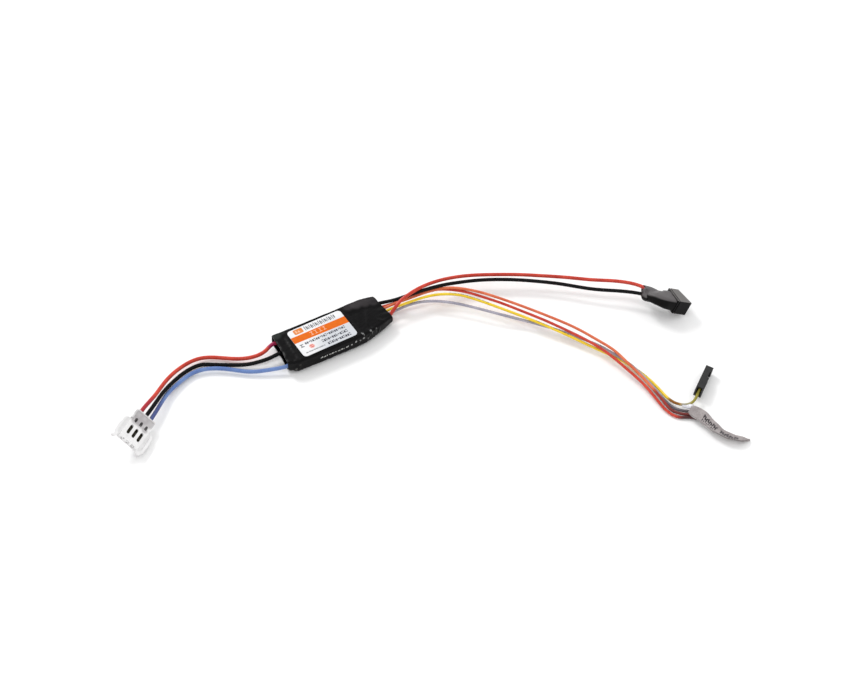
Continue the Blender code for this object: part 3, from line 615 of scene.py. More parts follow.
SIGNAL_ROUTES = {
    "orange": [
        (8.9, 2.0, 2.8), (12.2, 2.0, 2.8), (15.6, 2.0, 2.8), (18.8, 2.0, 2.9), (22.3, 1.5, 3.6),
        (25.5, 1.2, 3.8), (29.8, 0.7, 4.1), (33.5, 0.2, 4.4), (37.3, -0.6, 4.6),
        (41.1, -2.1, 4.9), (45.6, -5.6, 5.1), (49.6, -9.9, 5.2), (54.5, -16.3, 5.1),
        (59.2, -22.9, 4.9), (64.3, -30.5, 4.6), (68.4, -37.3, 4.3), (71.7, -44.3, 3.9),
        (74.1, -50.1, 3.5), (75.0, -54.8, 3.2), (75.9, -60.0, 2.7), (76.8, -67.4, 2.1),
        (77.2, -73.7, 1.5), (77.6, -78.0, 1.1), (79.4, -80.4, 0.8), (81.3, -81.8, 0.7),
        (82.8, -83.0, 0.7), (84.3, -84.2, 0.7),
    ],
    "red": [
        (8.9, 3.3, 2.8), (12.2, 3.2, 2.8), (15.6, 3.2, 2.8), (18.8, 3.0, 2.7), (22.2, 2.8, 2.4),
        (26.1, 2.4, 2.5), (30.5, 1.9, 2.9), (36.3, 0.8, 3.4), (41.0, -1.8, 3.8),
        (45.7, -6.3, 4.2), (49.2, -10.7, 4.2), (52.8, -15.6, 4.2), (56.2, -20.7, 4.1),
        (60.7, -27.6, 3.9), (64.3, -33.7, 3.7), (68.8, -42.1, 3.4), (71.0, -47.0, 3.1),
        (72.6, -52.0, 2.8), (73.9, -57.7, 2.4), (75.2, -63.8, 1.9), (75.8, -70.0, 1.4),
        (76.0, -75.1, 1.0), (76.8, -79.0, 0.7), (78.5, -81.4, 0.6), (80.3, -82.4, 0.6),
        (81.8, -83.5, 0.6), (83.4, -84.8, 0.6),
    ],
    "yellow": [
        (8.9, 0.7, 2.8), (12.2, 0.8, 2.8), (15.6, 0.8, 2.8), (18.8, 0.7, 2.8), (22.0, 0.7, 2.8),
        (24.7, -0.1, 3.6), (31.0, -1.1, 4.2), (36.5, -2.6, 4.5), (41.5, -5.3, 4.5),
        (44.3, -7.8, 4.4), (48.1, -12.5, 4.2), (52.8, -19.1, 4.0), (57.5, -25.8, 3.7),
        (62.6, -33.3, 3.1), (66.8, -40.0, 2.5), (70.4, -45.7, 1.8), (73.6, -50.3, 1.1),
        (76.3, -55.4, 0.8), (77.8, -60.1, 0.7), (78.6, -64.3, 0.9), (78.9, -70.2, 1.3),
        (79.3, -75.1, 1.6), (81.1, -77.7, 1.4), (83.2, -79.0, 1.6), (84.7, -79.2, 2.1),
        (86.0, -78.7, 2.5), (87.9, -77.3, 2.5), (89.6, -76.0, 2.4),
    ],
    "grey": [
        (8.9, -0.6, 2.8), (12.2, -0.5, 2.8), (15.6, -0.4, 2.8), (18.8, -0.4, 2.5),
        (22.5, -0.1, 2.0), (25.4, -0.3, 2.4), (28.7, -1.0, 2.9), (32.9, -2.8, 3.4),
        (38.4, -6.9, 3.9), (43.9, -12.2, 3.8), (49.2, -18.0, 3.6), (54.7, -23.4, 2.9),
        (60.1, -28.7, 2.2), (64.4, -33.6, 1.8), (68.5, -39.3, 1.6), (71.6, -44.4, 1.7),
        (73.5, -49.1, 2.0), (75.3, -54.0, 2.1), (76.7, -58.9, 1.8), (77.3, -63.8, 1.6),
        (77.8, -68.9, 1.2), (78.1, -74.1, 0.9), (79.4, -78.4, 0.8), (81.8, -80.8, 0.9),
        (84.4, -83.0, 0.8),
    ],
}
# Each lead's name, routes and diameter over the insulation.
LEADS = [
    ("motor", MOTOR_ROUTES, 1.3),
    ("battery", BATTERY_ROUTES, 1.2),
    ("signal", SIGNAL_ROUTES, 0.9),
]
SIGNAL_DIAMETER = LEADS[2][2]
WIRE_SPACING = 0.6
WIRE_ROUNDNESS = 5
# What holds the end of each wire, for a whole lead or for one wire of it.
WIRE_ENDS = {
    "motor": ("plug", ["motor_plug_body"]),
    "battery": ("plug", ["battery_plug_body", "battery_plug_shrink_film"]),
    "signal": ("fitting", ["tag_folded_film"]),
    "signal_yellow": ("plug", ["single_plug_body"]),
}


def build_wires(finishes):
    """Makes each wire, and lists it with its first point, length, diameter and what holds its far end.
    """
    made = []
    for lead, routes, diameter in LEADS:
        for colour, route in routes.items():
            spots, length = natural_curve(route, round(curve_length(route) / WIRE_SPACING))
            data = bpy.data.curves.new(f"{lead}_{colour}", "CURVE")
            data.dimensions = "3D"
            data.bevel_depth = diameter / 2 * MM
            data.bevel_resolution = WIRE_ROUNDNESS
            data.use_fill_caps = True
            spline = data.splines.new("POLY")
            spline.points.add(len(spots) - 1)
            for point, spot in zip(spline.points, spots):
                point.co = (*(spot * MM), 1.0)
            node = f"{lead}_wire_{colour}"
            wire = piece(f"{node}_insulation", data, finishes[f"wire_{colour}"], [node])
            far_end, pieces = WIRE_ENDS.get(f"{lead}_{colour}", WIRE_ENDS[lead])
            made.append((wire, route[0], length, diameter, far_end, pieces))
    return made


# ---------------- sleeve

# Along X: x, near side, far side, underside, top.
SLEEVE_STATIONS = [
    (-18.8, -5.4, 7.4, 1.1, 5.45),
    (-18.3, -5.8, 7.5, 0.6, 5.52),
    (-17.6, -6.2, 7.5, 0.5, 5.5),
    (-17.0, -6.5, 7.5, 0.1, 5.45),
    (-16.0, -6.8, 7.4, 0.0, 5.42),
    (-8.0, -7.0, 7.4, 0.0, 5.4),
    (5.0, -7.0, 7.4, 0.0, 5.4),
    (8.0, -6.8, 7.5, 0.0, 5.45),
    (10.5, -6.3, 7.5, 0.05, 5.48),
    (13.0, -5.6, 7.5, 0.15, 5.4),
    (15.0, -5.0, 7.4, 0.3, 5.28),
    (17.0, -4.3, 7.2, 0.6, 5.12),
    (18.8, -3.8, 6.9, 1.0, 4.9),
]
FILM = 0.35
SLEEVE_RADII = (0.45, 0.8, 1.6, 1.0)  # far top, near top, near low, far low
SIDE_POINTS = (60, 14, 30, 14)  # top, near side, underside, far side
CORNER_POINTS = 8
# Where the sleeve's rings lie along X: from, to and how many.
RING_SPANS = [
    (-18.8, -18.0, 7), (-18.0, 1.0, 64), (1.0, 18.0, 90), (18.0, 18.8, 7),
]
# Small folds in the film: centre, reach along and across and up, height, and lean of the crest.
FOLDS = [
    ((7.0, -6.6, 5.0), (0.22, 1.1, 1.0), 0.3, 0.35),
    ((10.1, -6.6, 4.6), (0.24, 1.2, 1.2), 0.34, -0.15),
    ((11.8, -6.0, 4.2), (0.3, 1.2, 1.4), 0.26, -0.30),
    ((3.6, -7.2, 4.0), (0.22, 1.0, 0.9), 0.22, 0.55),
    ((5.6, -7.1, 3.4), (0.24, 1.0, 0.8), 0.26, 0.60),
    ((8.7, -7.0, 3.0), (0.28, 1.0, 1.0), 0.3, 0.40),
    ((13.2, -5.6, 3.0), (0.3, 1.0, 1.2), 0.3, 0.20),
    ((-17.3, -6.8, 1.8), (0.34, 1.0, 1.1), 0.4, 0.30),
    ((-16.0, -7.0, 2.6), (0.26, 1.0, 1.0), 0.18, 0.50),
    ((-16.6, -6.0, 5.2), (0.5, 1.0, 0.8), 0.16, 0.60),
    ((15.0, -3.6, 4.8), (0.6, 1.0, 1.0), 0.22, -0.50),
    ((12.5, 1.0, 5.2), (0.9, 2.6, 1.0), 0.12, 0.40),
    ((9.8, 4.6, 5.3), (1.0, 1.6, 1.0), 0.13, 0.10),
]
# Height of the film's bumps, and how many there are to the metre.
FILM_BUMPS = [(0.07, 0.42), (0.03, 1.3)]
# Pleats at the two ends: side of X, where they start and are full, height, rate and phase.
PLEATS = [
    (1, 13.5, 18.5, 0.08, 2.6, 0.6),
    (-1, 17.6, 18.8, 0.04, 2.1, 1.0),
]
# Where the top sinks off its far edge, right of the label and at the left end: side of X, where
# the sink starts and is full, depth, the edge's Y and the width of its slope.
SINKS = [
    (1, 5.8, 7.6, 0.34, 5.4, 3.0),
    (-1, 15.0, 16.5, 0.16, 5.8, 2.0),
]
RIGHT_SKEW = 1.0  # how much further the right end reaches at the near side
RIGHT_TRIM = 0.1
LEFT_SKEW = 0.5
RAGGED = 0.1
LABEL_SIZE = (19.4, 12.1)
LABEL_CENTRE = (-4.3, 0.1)
LABEL_TURN = math.radians(1.2)
LABEL_LEAN = 0.028
LABEL_CORNER = 1.2
LABEL_BOTTOM = 5.45
LABEL_TOP = 5.57
LABEL_MARGIN = (1.2, 0.8)  # round the label, where the film becomes uneven again


def bumps(spot, rows):
    return sum(height * noise.noise(spot * rate) for height, rate in rows)


def near_label(x, y):
    """1 under the label, 0 well away from it."""
    past_end = abs(x - LABEL_CENTRE[0]) - LABEL_SIZE[0] / 2
    past_side = abs(y - LABEL_CENTRE[1]) - LABEL_SIZE[1] / 2
    end = 1.0 - ease(past_end, 0.0, LABEL_MARGIN[0])
    side = 1.0 - ease(past_side, 0.0, LABEL_MARGIN[1])
    return end * side


def rounded_section(near, far, low, top):
    """Points round the sleeve's section, as (y, z, outward y, outward z)."""
    far_top, near_top, near_low, far_low = SLEEVE_RADII
    corners = [
        (far - far_top, top - far_top, far_top, 0.0),
        (near + near_top, top - near_top, near_top, 90.0),
        (near + near_low, low + near_low, near_low, 180.0),
        (far - far_low, low + far_low, far_low, 270.0),
    ]
    ring = []
    for number, (y, z, radius, start) in enumerate(corners):
        for step in range(CORNER_POINTS):
            turn = math.radians(start + 90.0 * step / (CORNER_POINTS - 1))
            out_y, out_z = math.cos(turn), math.sin(turn)
            ring.append((y + radius * out_y, z + radius * out_z, out_y, out_z))
        next_y, next_z, next_radius, next_start = corners[(number + 1) % 4]
        turn = math.radians(next_start)
        last_y, last_z, out_y, out_z = ring[-1]
        run_y = next_y + next_radius * math.cos(turn) - last_y
        run_z = next_z + next_radius * math.sin(turn) - last_z
        for step in range(1, SIDE_POINTS[number]):
            t = step / SIDE_POINTS[number]
            ring.append((last_y + run_y * t, last_z + run_z * t, out_y, out_z))
    return ring


def film_relief(x, y, z, out_z):
    """How far the film stands out of its plain shape."""
    relief = 0.0
    for (cx, cy, cz), (rx, ry, rz), height, lean in FOLDS:
        across = (x - cx - lean * (z - cz) - lean * (y - cy)) / rx
        fade = ((y - cy) / ry) ** 2 + ((z - cz) / rz) ** 2
        if abs(across) < 4 and fade < 9:
            relief += height * math.exp(-across * across - fade)
    relief += bumps(Vector((x, y, z)), FILM_BUMPS)
    for side, start, full, height, rate, phase in PLEATS:
        relief += ease(side * x, start, full) * height * math.sin(y * rate + phase) * abs(out_z)
    flat = near_label(x, y) if z > 4.0 else 0.0
    return relief * (1.0 - flat)


def top_sink(x, y):
    return sum(ease(side * x, start, full) * depth * ease(edge - y, 0.0, width)
               for side, start, full, depth, edge, width in SINKS)


def end_shift(x, y, z):
    """How far along X the cut ends lie off square."""
    right = -(RIGHT_SKEW * (y / 7.0) + RIGHT_TRIM) * ease(x, 12.0, 18.8)
    left = -LEFT_SKEW * ease(-y, -2.0, 6.0) * ease(-x, 15.0, 18.8)
    ragged = RAGGED * noise.noise(Vector((y * 0.5, z * 0.5, 3.0)))
    return right + left + ragged * ease(abs(x), 18.2, 18.8)


def sleeve_rows(inset):
    stations = np.array(SLEEVE_STATIONS)
    spans = [np.linspace(*span) for span in RING_SPANS]
    places = np.concatenate([span[:-1] for span in spans[:-1]] + [spans[-1]])
    rows = []
    for x in places:
        near, far, low, top = [np.interp(x, stations[:, 0], stations[:, k]) for k in range(1, 5)]
        middle = (low + top) / 2
        row = []
        for y, z, out_y, out_z in rounded_section(near, far, low, top):
            out = film_relief(x, y, z, out_z) - inset
            if z > middle:
                z -= top_sink(x, y) * (z - middle) / ((top - low) / 2)
            y += out_y * out
            z += out_z * out
            row.append((x + end_shift(x, y, z), y, max(z, 0.0)))
        rows.append(row)
    return rows


def build_sleeve(finishes):
    data = open_tube(sleeve_rows(0.0), sleeve_rows(FILM))
    sleeve = piece("sleeve_film", data, finishes["sleeve"], ["heat_shrink_sleeve"])
    smooth(sleeve, 50)


# ---------------- label

INK_SINK = 0.02
INK_RISE = 0.008
OVERPRINT = 0.006
STRIPE_INSET = 0.02
# The pale beams on the stripe: their bars, their pitch and how many.
BEAM_BARS = [
    (6.4, 3.6, 7.4, 3.8), (6.4, 4.9, 7.4, 5.1),
    (6.8, 3.8, 7.0, 4.9),
]
BEAM_PITCH = 1.5
BEAMS = 4
# Strokes and blocks that stand for print, as bars in parts of their pitch and height.
PRINT_MARKS = {
    "|": [(0.0, 0.0, 0.30, 1.0), (0.50, 0.3, 0.74, 1.0)],
    "-": [(0.0, 0.36, 0.74, 0.66)],
    "#": [(0.0, 0.22, 0.74, 1.0)],
    "=": [(0.0, 0.05, 0.74, 0.33), (0.0, 0.68, 0.74, 0.97)],
}
# Rows of them: start, end, far edge, height, pitch and pattern.
DARK_ROWS = [
    (2.9, 17.1, 6.5, 1.1, 0.66, "##-|#=##-|#=-##|"),
    (8.0, 17.1, 8.3, 1.2, 0.72, "=#|#-##|-#=#"),
    (9.2, 17.2, 10.1, 1.2, 0.7, "#=#|#-##=#"),
]
GREY_ROW = (1.3, 7.8, 10.5, 0.55, 0.36, "##-#|")
GREY_BARS = [
    (1.0, 6.9, 2.2, 7.2), (1.0, 7.9, 2.2, 8.2),
    (1.3, 7.2, 1.6, 7.9),
]
TICKS = 20
TICK_START = 5.9
TICK_PITCH = 0.55
DISC_CENTRE = (4.3, 9.1)
DISC_RADIUS = 0.9
DISC_SIDES = 24


def label_point(u, v, z):
    """u from the label's left edge, v down from its far edge."""
    y = LABEL_SIZE[1] / 2 - v
    x = u - LABEL_SIZE[0] / 2 - LABEL_LEAN * y
    return (LABEL_CENTRE[0] + x * math.cos(LABEL_TURN) - y * math.sin(LABEL_TURN),
            LABEL_CENTRE[1] + x * math.sin(LABEL_TURN) + y * math.cos(LABEL_TURN), z)


def rounded_outline(u0, v0, u1, v1, corner, steps=8):
    outline = []
    corners = [(u1 - corner, v1 - corner, 0.0), (u0 + corner, v1 - corner, 90.0),
               (u0 + corner, v0 + corner, 180.0), (u1 - corner, v0 + corner, 270.0)]
    for u, v, start in corners:
        for step in range(steps + 1):
            turn = math.radians(start + 90.0 * step / steps)
            outline.append((u + corner * math.cos(turn), v + corner * math.sin(turn)))
    return outline


def slab(outlines, low, high):
    """Closed flat solids with these label outlines, in one mesh."""
    return solids([[[label_point(u, v, z) for u, v in outline] for z in (low, high)]
                   for outline in outlines])


def bar(u0, v0, u1, v1):
    return [(u0, v0), (u1, v0), (u1, v1), (u0, v1)]


def print_row(start, end, v, height, pitch, pattern):
    """A row of strokes and blocks that stands for a line of print without spelling anything."""
    bars = []
    u, number = start, 0
    while u < end:
        for u0, v0, u1, v1 in PRINT_MARKS[pattern[number % len(pattern)]]:
            bars.append(bar(u + pitch * u0, v + height * v0, u + pitch * u1, v + height * v1))
        number += 1
        u += pitch
    return bars


def stripe_outline():
    left, right = STRIPE_INSET, LABEL_SIZE[0] - STRIPE_INSET
    return [(left, 3.0), (right, 3.2), (right, 6.2), (left, 5.7)]


def pale_bars():
    bars = [bar(2.6, 0.8, 3.1, 2.0), bar(3.5, 1.2, 4.0, 2.0)]
    for u0, v0, u1, v1 in BEAM_BARS:
        bars += [bar(u0 + BEAM_PITCH * i, v0, u1 + BEAM_PITCH * i, v1) for i in range(BEAMS)]
    return bars


def grey_bars():
    bars = []
    for i in range(TICKS):
        start = TICK_START + TICK_PITCH * i
        end = start + (0.4 if i % 3 == 1 else 0.24)
        bars.append(bar(start, 0.5 + 0.3 * (i % 3), end, 2.4 - 0.2 * (i % 2)))
    return bars + [bar(*sides) for sides in GREY_BARS] + print_row(*GREY_ROW)


def disc_outline():
    turns = [2 * math.pi * i / DISC_SIDES for i in range(DISC_SIDES)]
    return [(DISC_CENTRE[0] + DISC_RADIUS * math.cos(turn),
             DISC_CENTRE[1] + DISC_RADIUS * math.sin(turn)) for turn in turns]


def build_label(finishes):
    edge = rounded_outline(0.0, 0.0, *LABEL_SIZE, LABEL_CORNER)
    label = piece("label_stock", slab([edge], LABEL_BOTTOM, LABEL_TOP), finishes["label"],
                  ["product_label"])
    bevelled(label, 0.03, 2, 40)
    square = rounded_outline(2.0, 0.4, 5.2, 2.5, 0.4, 4)
    dark = [mark for row in DARK_ROWS for mark in print_row(*row)]
    dot = [bar(3.8, 8.6, 4.8, 8.9), bar(3.8, 9.3, 4.8, 9.6)]
    inks = [
        ("label_orange_print", [stripe_outline()], "label_orange", 0.0),
        ("label_square_print", [square], "label_icon", 0.0),
        ("label_pale_print", pale_bars(), "label_pale", OVERPRINT),
        ("label_dark_print", dark, "label_dark", 0.0),
        ("label_grey_print", grey_bars(), "label_grey", 0.0),
        ("label_round_mark", [disc_outline()], "label_pink", 0.0),
        ("label_round_mark_centre", dot, "label_red", OVERPRINT),
    ]
    for name, outlines, finish, lift in inks:
        data = slab(outlines, LABEL_TOP - INK_SINK, LABEL_TOP + INK_RISE + lift)
        piece(name, data, finishes[finish])


SIDE_PRINT_SPAN = (-8.6, 1.2)
SIDE_PRINT_LOW = 3.1
SIDE_PRINT_WAVER = 0.08
SIDE_PRINT_DEPTHS = (-7.12, -7.2)
SIDE_PRINT_WIDTHS = (0.26, 0.4, 0.18, 0.55)
SIDE_PRINT_HEIGHTS = (0.34, 0.42, 0.26)
SIDE_PRINT_GAPS = (0.12, 0.22, 0.1, 0.3, 0.6)


def build_side_print(finishes):
    """Pale broken print along the near side of the film."""
    bodies = []
    x, end = SIDE_PRINT_SPAN
    number = 0
    while x < end:
        wide = SIDE_PRINT_WIDTHS[number % 4]
        z = SIDE_PRINT_LOW + SIDE_PRINT_WAVER * math.sin(number * 1.7)
        top = z + SIDE_PRINT_HEIGHTS[number % 3]
        bodies.append([[(x, y, z), (x + wide, y, z), (x + wide, y, top), (x, y, top)]
                       for y in SIDE_PRINT_DEPTHS])
        x += wide + SIDE_PRINT_GAPS[number % 5]
        number += 1
    piece("sleeve_side_print", solids(bodies), finishes["side_print"])


# ---------------- plugs
# Each plug is made in its own axes, with its wires coming in from -X, and then put in place.

MOTOR_PLUG_PLACE = ((-71.7, -5.9, 4.3), (-38.0, -2.0, -143.0))
BATTERY_PLUG_PLACE = ((103.1, -43.2, 4.1), (-8.0, 28.0, -12.0))
SINGLE_PLUG_PLACE = ((92.25, -74.05, 2.24), (6.6, 3.1, 36.6))
MOTOR_PITCH = 2.0
WING = [
    (-1.8, 3.0), (-1.4, 4.3), (-0.4, 5.5), (3.0, 5.8), (5.6, 5.7),
    (6.4, 5.3), (6.6, 4.7), (6.0, 4.1), (5.0, 3.6), (4.8, 3.0),
]
WING_RIM = [
    (-1.3, 4.5), (-0.4, 5.5), (3.0, 5.8), (5.6, 5.7), (6.4, 5.3),
    (6.6, 4.7), (6.0, 4.2), (5.3, 4.6), (4.6, 4.9), (0.4, 4.8),
]


def long_hole(rear, front, taper, rear_half, half, front_half, y):
    """A hole in the motor plug's top, narrowed at its ends."""
    side = [(rear, rear_half), (rear + taper, half), (front - taper, half), (front, front_half)]
    outline = [(x, y - width) for x, width in side] + [(x, y + width) for x, width in side[::-1]]
    return prism(outline, 0.0, 3.0)


def build_motor_plug(finishes):
    rear = box((-5.5, -3.5, -1.5), (-0.6, 3.6, 1.3))
    shapes = [box((-1.0, -3.6, -1.5), (5.2, 3.7, 1.5))]
    for side in (1, -1):
        shapes.append(prism([(x, side * y) for x, y in WING[::side]], -1.1, 1.05))
        shapes.append(prism([(x, side * y) for x, y in WING_RIM[::side]], -0.9, 1.4))
    near_rail = box((-5.2, -3.9, 0.4), (-1.7, -3.2, 1.65))
    rear_lip = box((-5.6, -3.3, 0.9), (-5.1, 3.5, 1.48))
    front_lip = box((4.5, -3.5, 1.0), (5.3, 3.6, 1.6))
    housing = carve(rear, shapes + [near_rail, rear_lip, front_lip], "UNION")
    cuts = []
    for i in (-1, 0, 1):
        y = i * MOTOR_PITCH
        cuts.append(box((-6.5, y - 0.8, -0.8), (4.4, y + 0.8, 0.8)))
        cuts.append(box((4.0, y - 0.2, -0.95), (6.5, y + 0.2, -0.6)))
        y += 0.1
        cuts.append(long_hole(0.2, 3.8, 0.4, 0.22, 0.52, 0.24, y))
        cuts.append(long_hole(-2.8, -1.1, 0.3, 0.2, 0.46, 0.2, y))
    item = piece("motor_plug_body", placed(carve(housing, cuts), MOTOR_PLUG_PLACE),
                 finishes["white"], ["motor_plug_housing"])
    bevelled(item, 0.16, 3, 30)


BATTERY_OUTLINE = [
    (-2.7, -3.6), (2.7, -3.6), (2.7, -3.3), (1.3, 3.6), (-2.7, 3.6),
]
BATTERY_HALF_HEIGHT = 2.45
BATTERY_HALF_PITCH = 1.25


def build_battery_plug(finishes):
    head = prism(BATTERY_OUTLINE, -BATTERY_HALF_HEIGHT, BATTERY_HALF_HEIGHT)
    collar = box((-2.9, -3.3, -2.1), (-2.2, 3.3, 2.3))
    neck = box((-5.8, -2.3, -1.3), (-2.4, 2.3, 1.3))
    cavity = box((-1.3, -2.6, -1.65), (3.7, 2.2, 1.65))
    top_groove = box((-2.3, -4.0, 2.25), (-1.9, 4.0, 3.0))
    near_groove = box((-2.3, -4.0, -3.0), (-1.9, -3.4, 3.0))
    cuts = [cavity, top_groove, near_groove]
    for y in (-BATTERY_HALF_PITCH, BATTERY_HALF_PITCH):
        cuts.append(box((-6.8, y - 0.5, -0.5), (0.0, y + 0.5, 0.5)))
    body = carve(carve(head, [collar, neck], "UNION"), cuts)
    item = piece("battery_plug_body", placed(body, BATTERY_PLUG_PLACE), finishes["black"],
                 ["battery_plug_housing"])
    bevelled(item, 0.22, 3, 30)


# Centre, half-width and half-height of the shrink over the battery wires and neck, and the power of
# its section's curve in thousandths: 1000 for an ellipse, less for a squarer section.
SHRINK_STATIONS = [
    (94.7, -35.0, 5.5, 2.5, 1.6, 900.0),
    (95.1, -35.7, 5.7, 2.5, 1.6, 900.0),
    (95.8, -37.4, 6.2, 2.5, 1.6, 750.0),
    (96.3, -39.2, 6.7, 2.7, 1.7, 600.0),
    (97.0, -40.8, 7.0, 2.9, 1.9, 500.0),
    (98.1, -42.0, 6.8, 3.1, 2.0, 450.0),
    (99.2, -42.37, 6.2, 3.3, 2.1, 420.0),
    (100.6, -42.67, 5.45, 3.5, 2.2, 400.0),
]
SHRINK_WALL = 0.3
SHRINK_ROWS = 56
SHRINK_STEPS = 56
SHRINK_TURN = (0.35, 0.85)  # where along it the film turns from upright to the plug's lean
# How far the mouth is cut back, how much more on one side, and how much more at its top.
MOUTH_SET = 0.9
MOUTH_LEAN = 1.9
MOUTH_OPEN = 1.0
MOUTH_END = 0.55  # where along it the mouth's cut has no more effect
MOUTH_LIP = 0.16
MOUTH_LIP_REACH = 0.045
SHRINK_BUMPS = [(0.08, 0.42), (0.03, 1.5)]
SHRINK_RIPPLE = 0.04
RIPPLE_START = (0.1, 0.3)
RIPPLE_STOP = (0.75, 0.95)
RIPPLE_WAVES = 26.0
RIPPLE_SKEW = 2.0
INNER_RELIEF = 0.8  # how much of the outside's relief shows inside


def build_plug_shrink(finishes):
    rows, _ = natural_curve(SHRINK_STATIONS, SHRINK_ROWS)
    plug_up = place_matrix(BATTERY_PLUG_PLACE).to_3x3().col[2]
    outer, inner = [], []
    for i, (x, y, z, half_width, half_height, thousandths) in enumerate(rows):
        centre = Vector((x, y, z))
        power = thousandths / 1000
        ahead = direction_at(rows, i)
        t = i / (len(rows) - 1)
        lean = ease(t, *SHRINK_TURN)
        across = (UP * (1 - lean) + plug_up * lean).normalized().cross(ahead).normalized()
        upward = ahead.cross(across).normalized()
        nearer = -math.copysign(1.0, across.y)
        cut = ahead.normalized() * (1.0 - ease(t, 0.0, MOUTH_END))
        ripple = SHRINK_RIPPLE * ease(t, *RIPPLE_START) * (1 - ease(t, *RIPPLE_STOP))
        lip = MOUTH_LIP * math.exp(-(t / MOUTH_LIP_REACH) ** 2)
        for rings, inset, share in ((outer, 0.0, 1.0), (inner, SHRINK_WALL, INNER_RELIEF)):
            ring = []
            for step in range(SHRINK_STEPS):
                turn = 2 * math.pi * step / SHRINK_STEPS
                c, s = math.cos(turn), math.sin(turn)
                sideways = math.copysign(abs(c) ** power, c)
                rise = math.copysign(abs(s) ** power, s)
                spot = centre + across * (half_width - inset) * sideways
                spot += upward * (half_height - inset) * rise
                spot += cut * (MOUTH_SET + MOUTH_LEAN * sideways * nearer + MOUTH_OPEN * rise)
                wave = math.sin(t * RIPPLE_WAVES + RIPPLE_SKEW * c)
                relief = bumps(spot, SHRINK_BUMPS) + ripple * wave + lip
                ring.append(spot + (across * c + upward * s) * relief * share)
            rings.append(ring)
    item = piece("battery_plug_shrink_film", open_tube(outer, inner), finishes["shrink"],
                 ["battery_plug_heat_shrink"])
    smooth(item, 50)


SINGLE_HALF_LENGTH = 5.9
SINGLE_HALF_WIDTH = 1.25


def build_single_plug(finishes):
    corner = (SINGLE_HALF_LENGTH, SINGLE_HALF_WIDTH, SINGLE_HALF_WIDTH)
    bore = box((-8.0, -0.8, -0.8), (8.0, 0.8, 0.8))
    window = box((1.4, -3.0, -0.8), (3.6, -0.5, 0.8))
    notch = box((1.3, -3.0, -3.0), (3.7, -0.66, 3.0))
    rear_opening = box((-8.0, -0.8, 0.0), (-4.0, 0.8, 3.0))
    body = carve(box([-side for side in corner], corner), [bore, window, notch, rear_opening])
    item = piece("single_plug_body", placed(body, SINGLE_PLUG_PLACE), finishes["housing"],
                 ["single_plug_housing"])
    bevelled(item, 0.1, 2, 30)


# ---------------- tag

# A point on the tag's far edge, then the one across from it on its near edge.
TAG_STATIONS = [
    (83.6, -80.3, 2.1, 81.1, -81.8, 2.0),
    (85.1, -82.0, 2.0, 81.2, -84.3, 2.0),
    (86.2, -84.4, 1.7, 82.1, -86.7, 2.0),
    (86.6, -88.0, 1.3, 82.5, -90.0, 2.4),
    (87.1, -90.7, 0.9, 83.4, -92.8, 2.7),
    (87.8, -93.1, 0.6, 84.5, -95.4, 2.9),
    (89.2, -95.0, 0.4, 86.2, -97.4, 2.6),
    (90.8, -96.9, 0.3, 88.2, -98.8, 2.3),
    (91.8, -98.2, 0.3, 90.2, -99.4, 1.6),
    (92.5, -99.0, 0.4, 92.2, -99.2, 0.8),
]
TAG_FILM = 0.1
TAG_CURVE_POINTS = 90
TAG_ROWS = 90
TAG_STEPS = 12
TAG_SAG = 0.45
TAG_RIPPLE = 0.08
UPPER_LIFT = 0.12  # of the upper fold's outside
LOWER_LIFT = -0.04  # of the lower fold at the far edge
FOLD_OPENING = 0.1  # how much further apart the folds are at the near edge
LOWER_SET_BACK = 0.07  # how much narrower the lower fold is, at most
LEAST_HEIGHT = 0.02
TAG_MARK_LIFTS = (0.11, 0.13)


class Ribbon:
    """The tag's middle surface: along from 0 to 1, across from 0 at the far edge to 1 at the near."""

    def __init__(self):
        self.rows, _ = natural_curve(TAG_STATIONS, TAG_CURVE_POINTS)

    def point(self, along, across, lift):
        place = along * (len(self.rows) - 1)
        i = min(int(place), len(self.rows) - 2)
        row = self.rows[i] + (self.rows[i + 1] - self.rows[i]) * (place - i)
        far, near = Vector(row[:3]), Vector(row[3:])
        step = self.rows[min(i + 2, len(self.rows) - 1)] - self.rows[max(i - 1, 0)]
        ahead = Vector(step[:3]) + Vector(step[3:])
        out = ahead.cross(near - far).normalized()
        if out.z < 0:
            out = -out
        sag = -TAG_SAG * math.sin(math.pi * across) * ease(along, 0.0, 0.2)
        ripple = TAG_RIPPLE * math.sin(along * 31.0 + across * 3.0)
        return far.lerp(near, across) + out * (sag + ripple + lift)


def fold_ring(ribbon, along):
    """Round the folded film's section: the upper fold out and back, then the lower."""
    width = 1.0 - LOWER_SET_BACK * math.sin(math.pi * min(1.0, along * 1.1))

    def upper(step, sink):
        return ribbon.point(along, step / TAG_STEPS, UPPER_LIFT - sink)

    def lower(step, sink):
        across = step / TAG_STEPS
        return ribbon.point(along, across * width, LOWER_LIFT - FOLD_OPENING * across - sink)

    ring = [upper(step, 0.0) for step in range(TAG_STEPS + 1)]
    ring += [upper(step, TAG_FILM) for step in range(TAG_STEPS, 0, -1)]
    ring += [lower(step, 0.0) for step in range(1, TAG_STEPS + 1)]
    ring += [lower(step, TAG_FILM) for step in range(TAG_STEPS, -1, -1)]
    return [(point.x, point.y, max(point.z, LEAST_HEIGHT)) for point in ring]


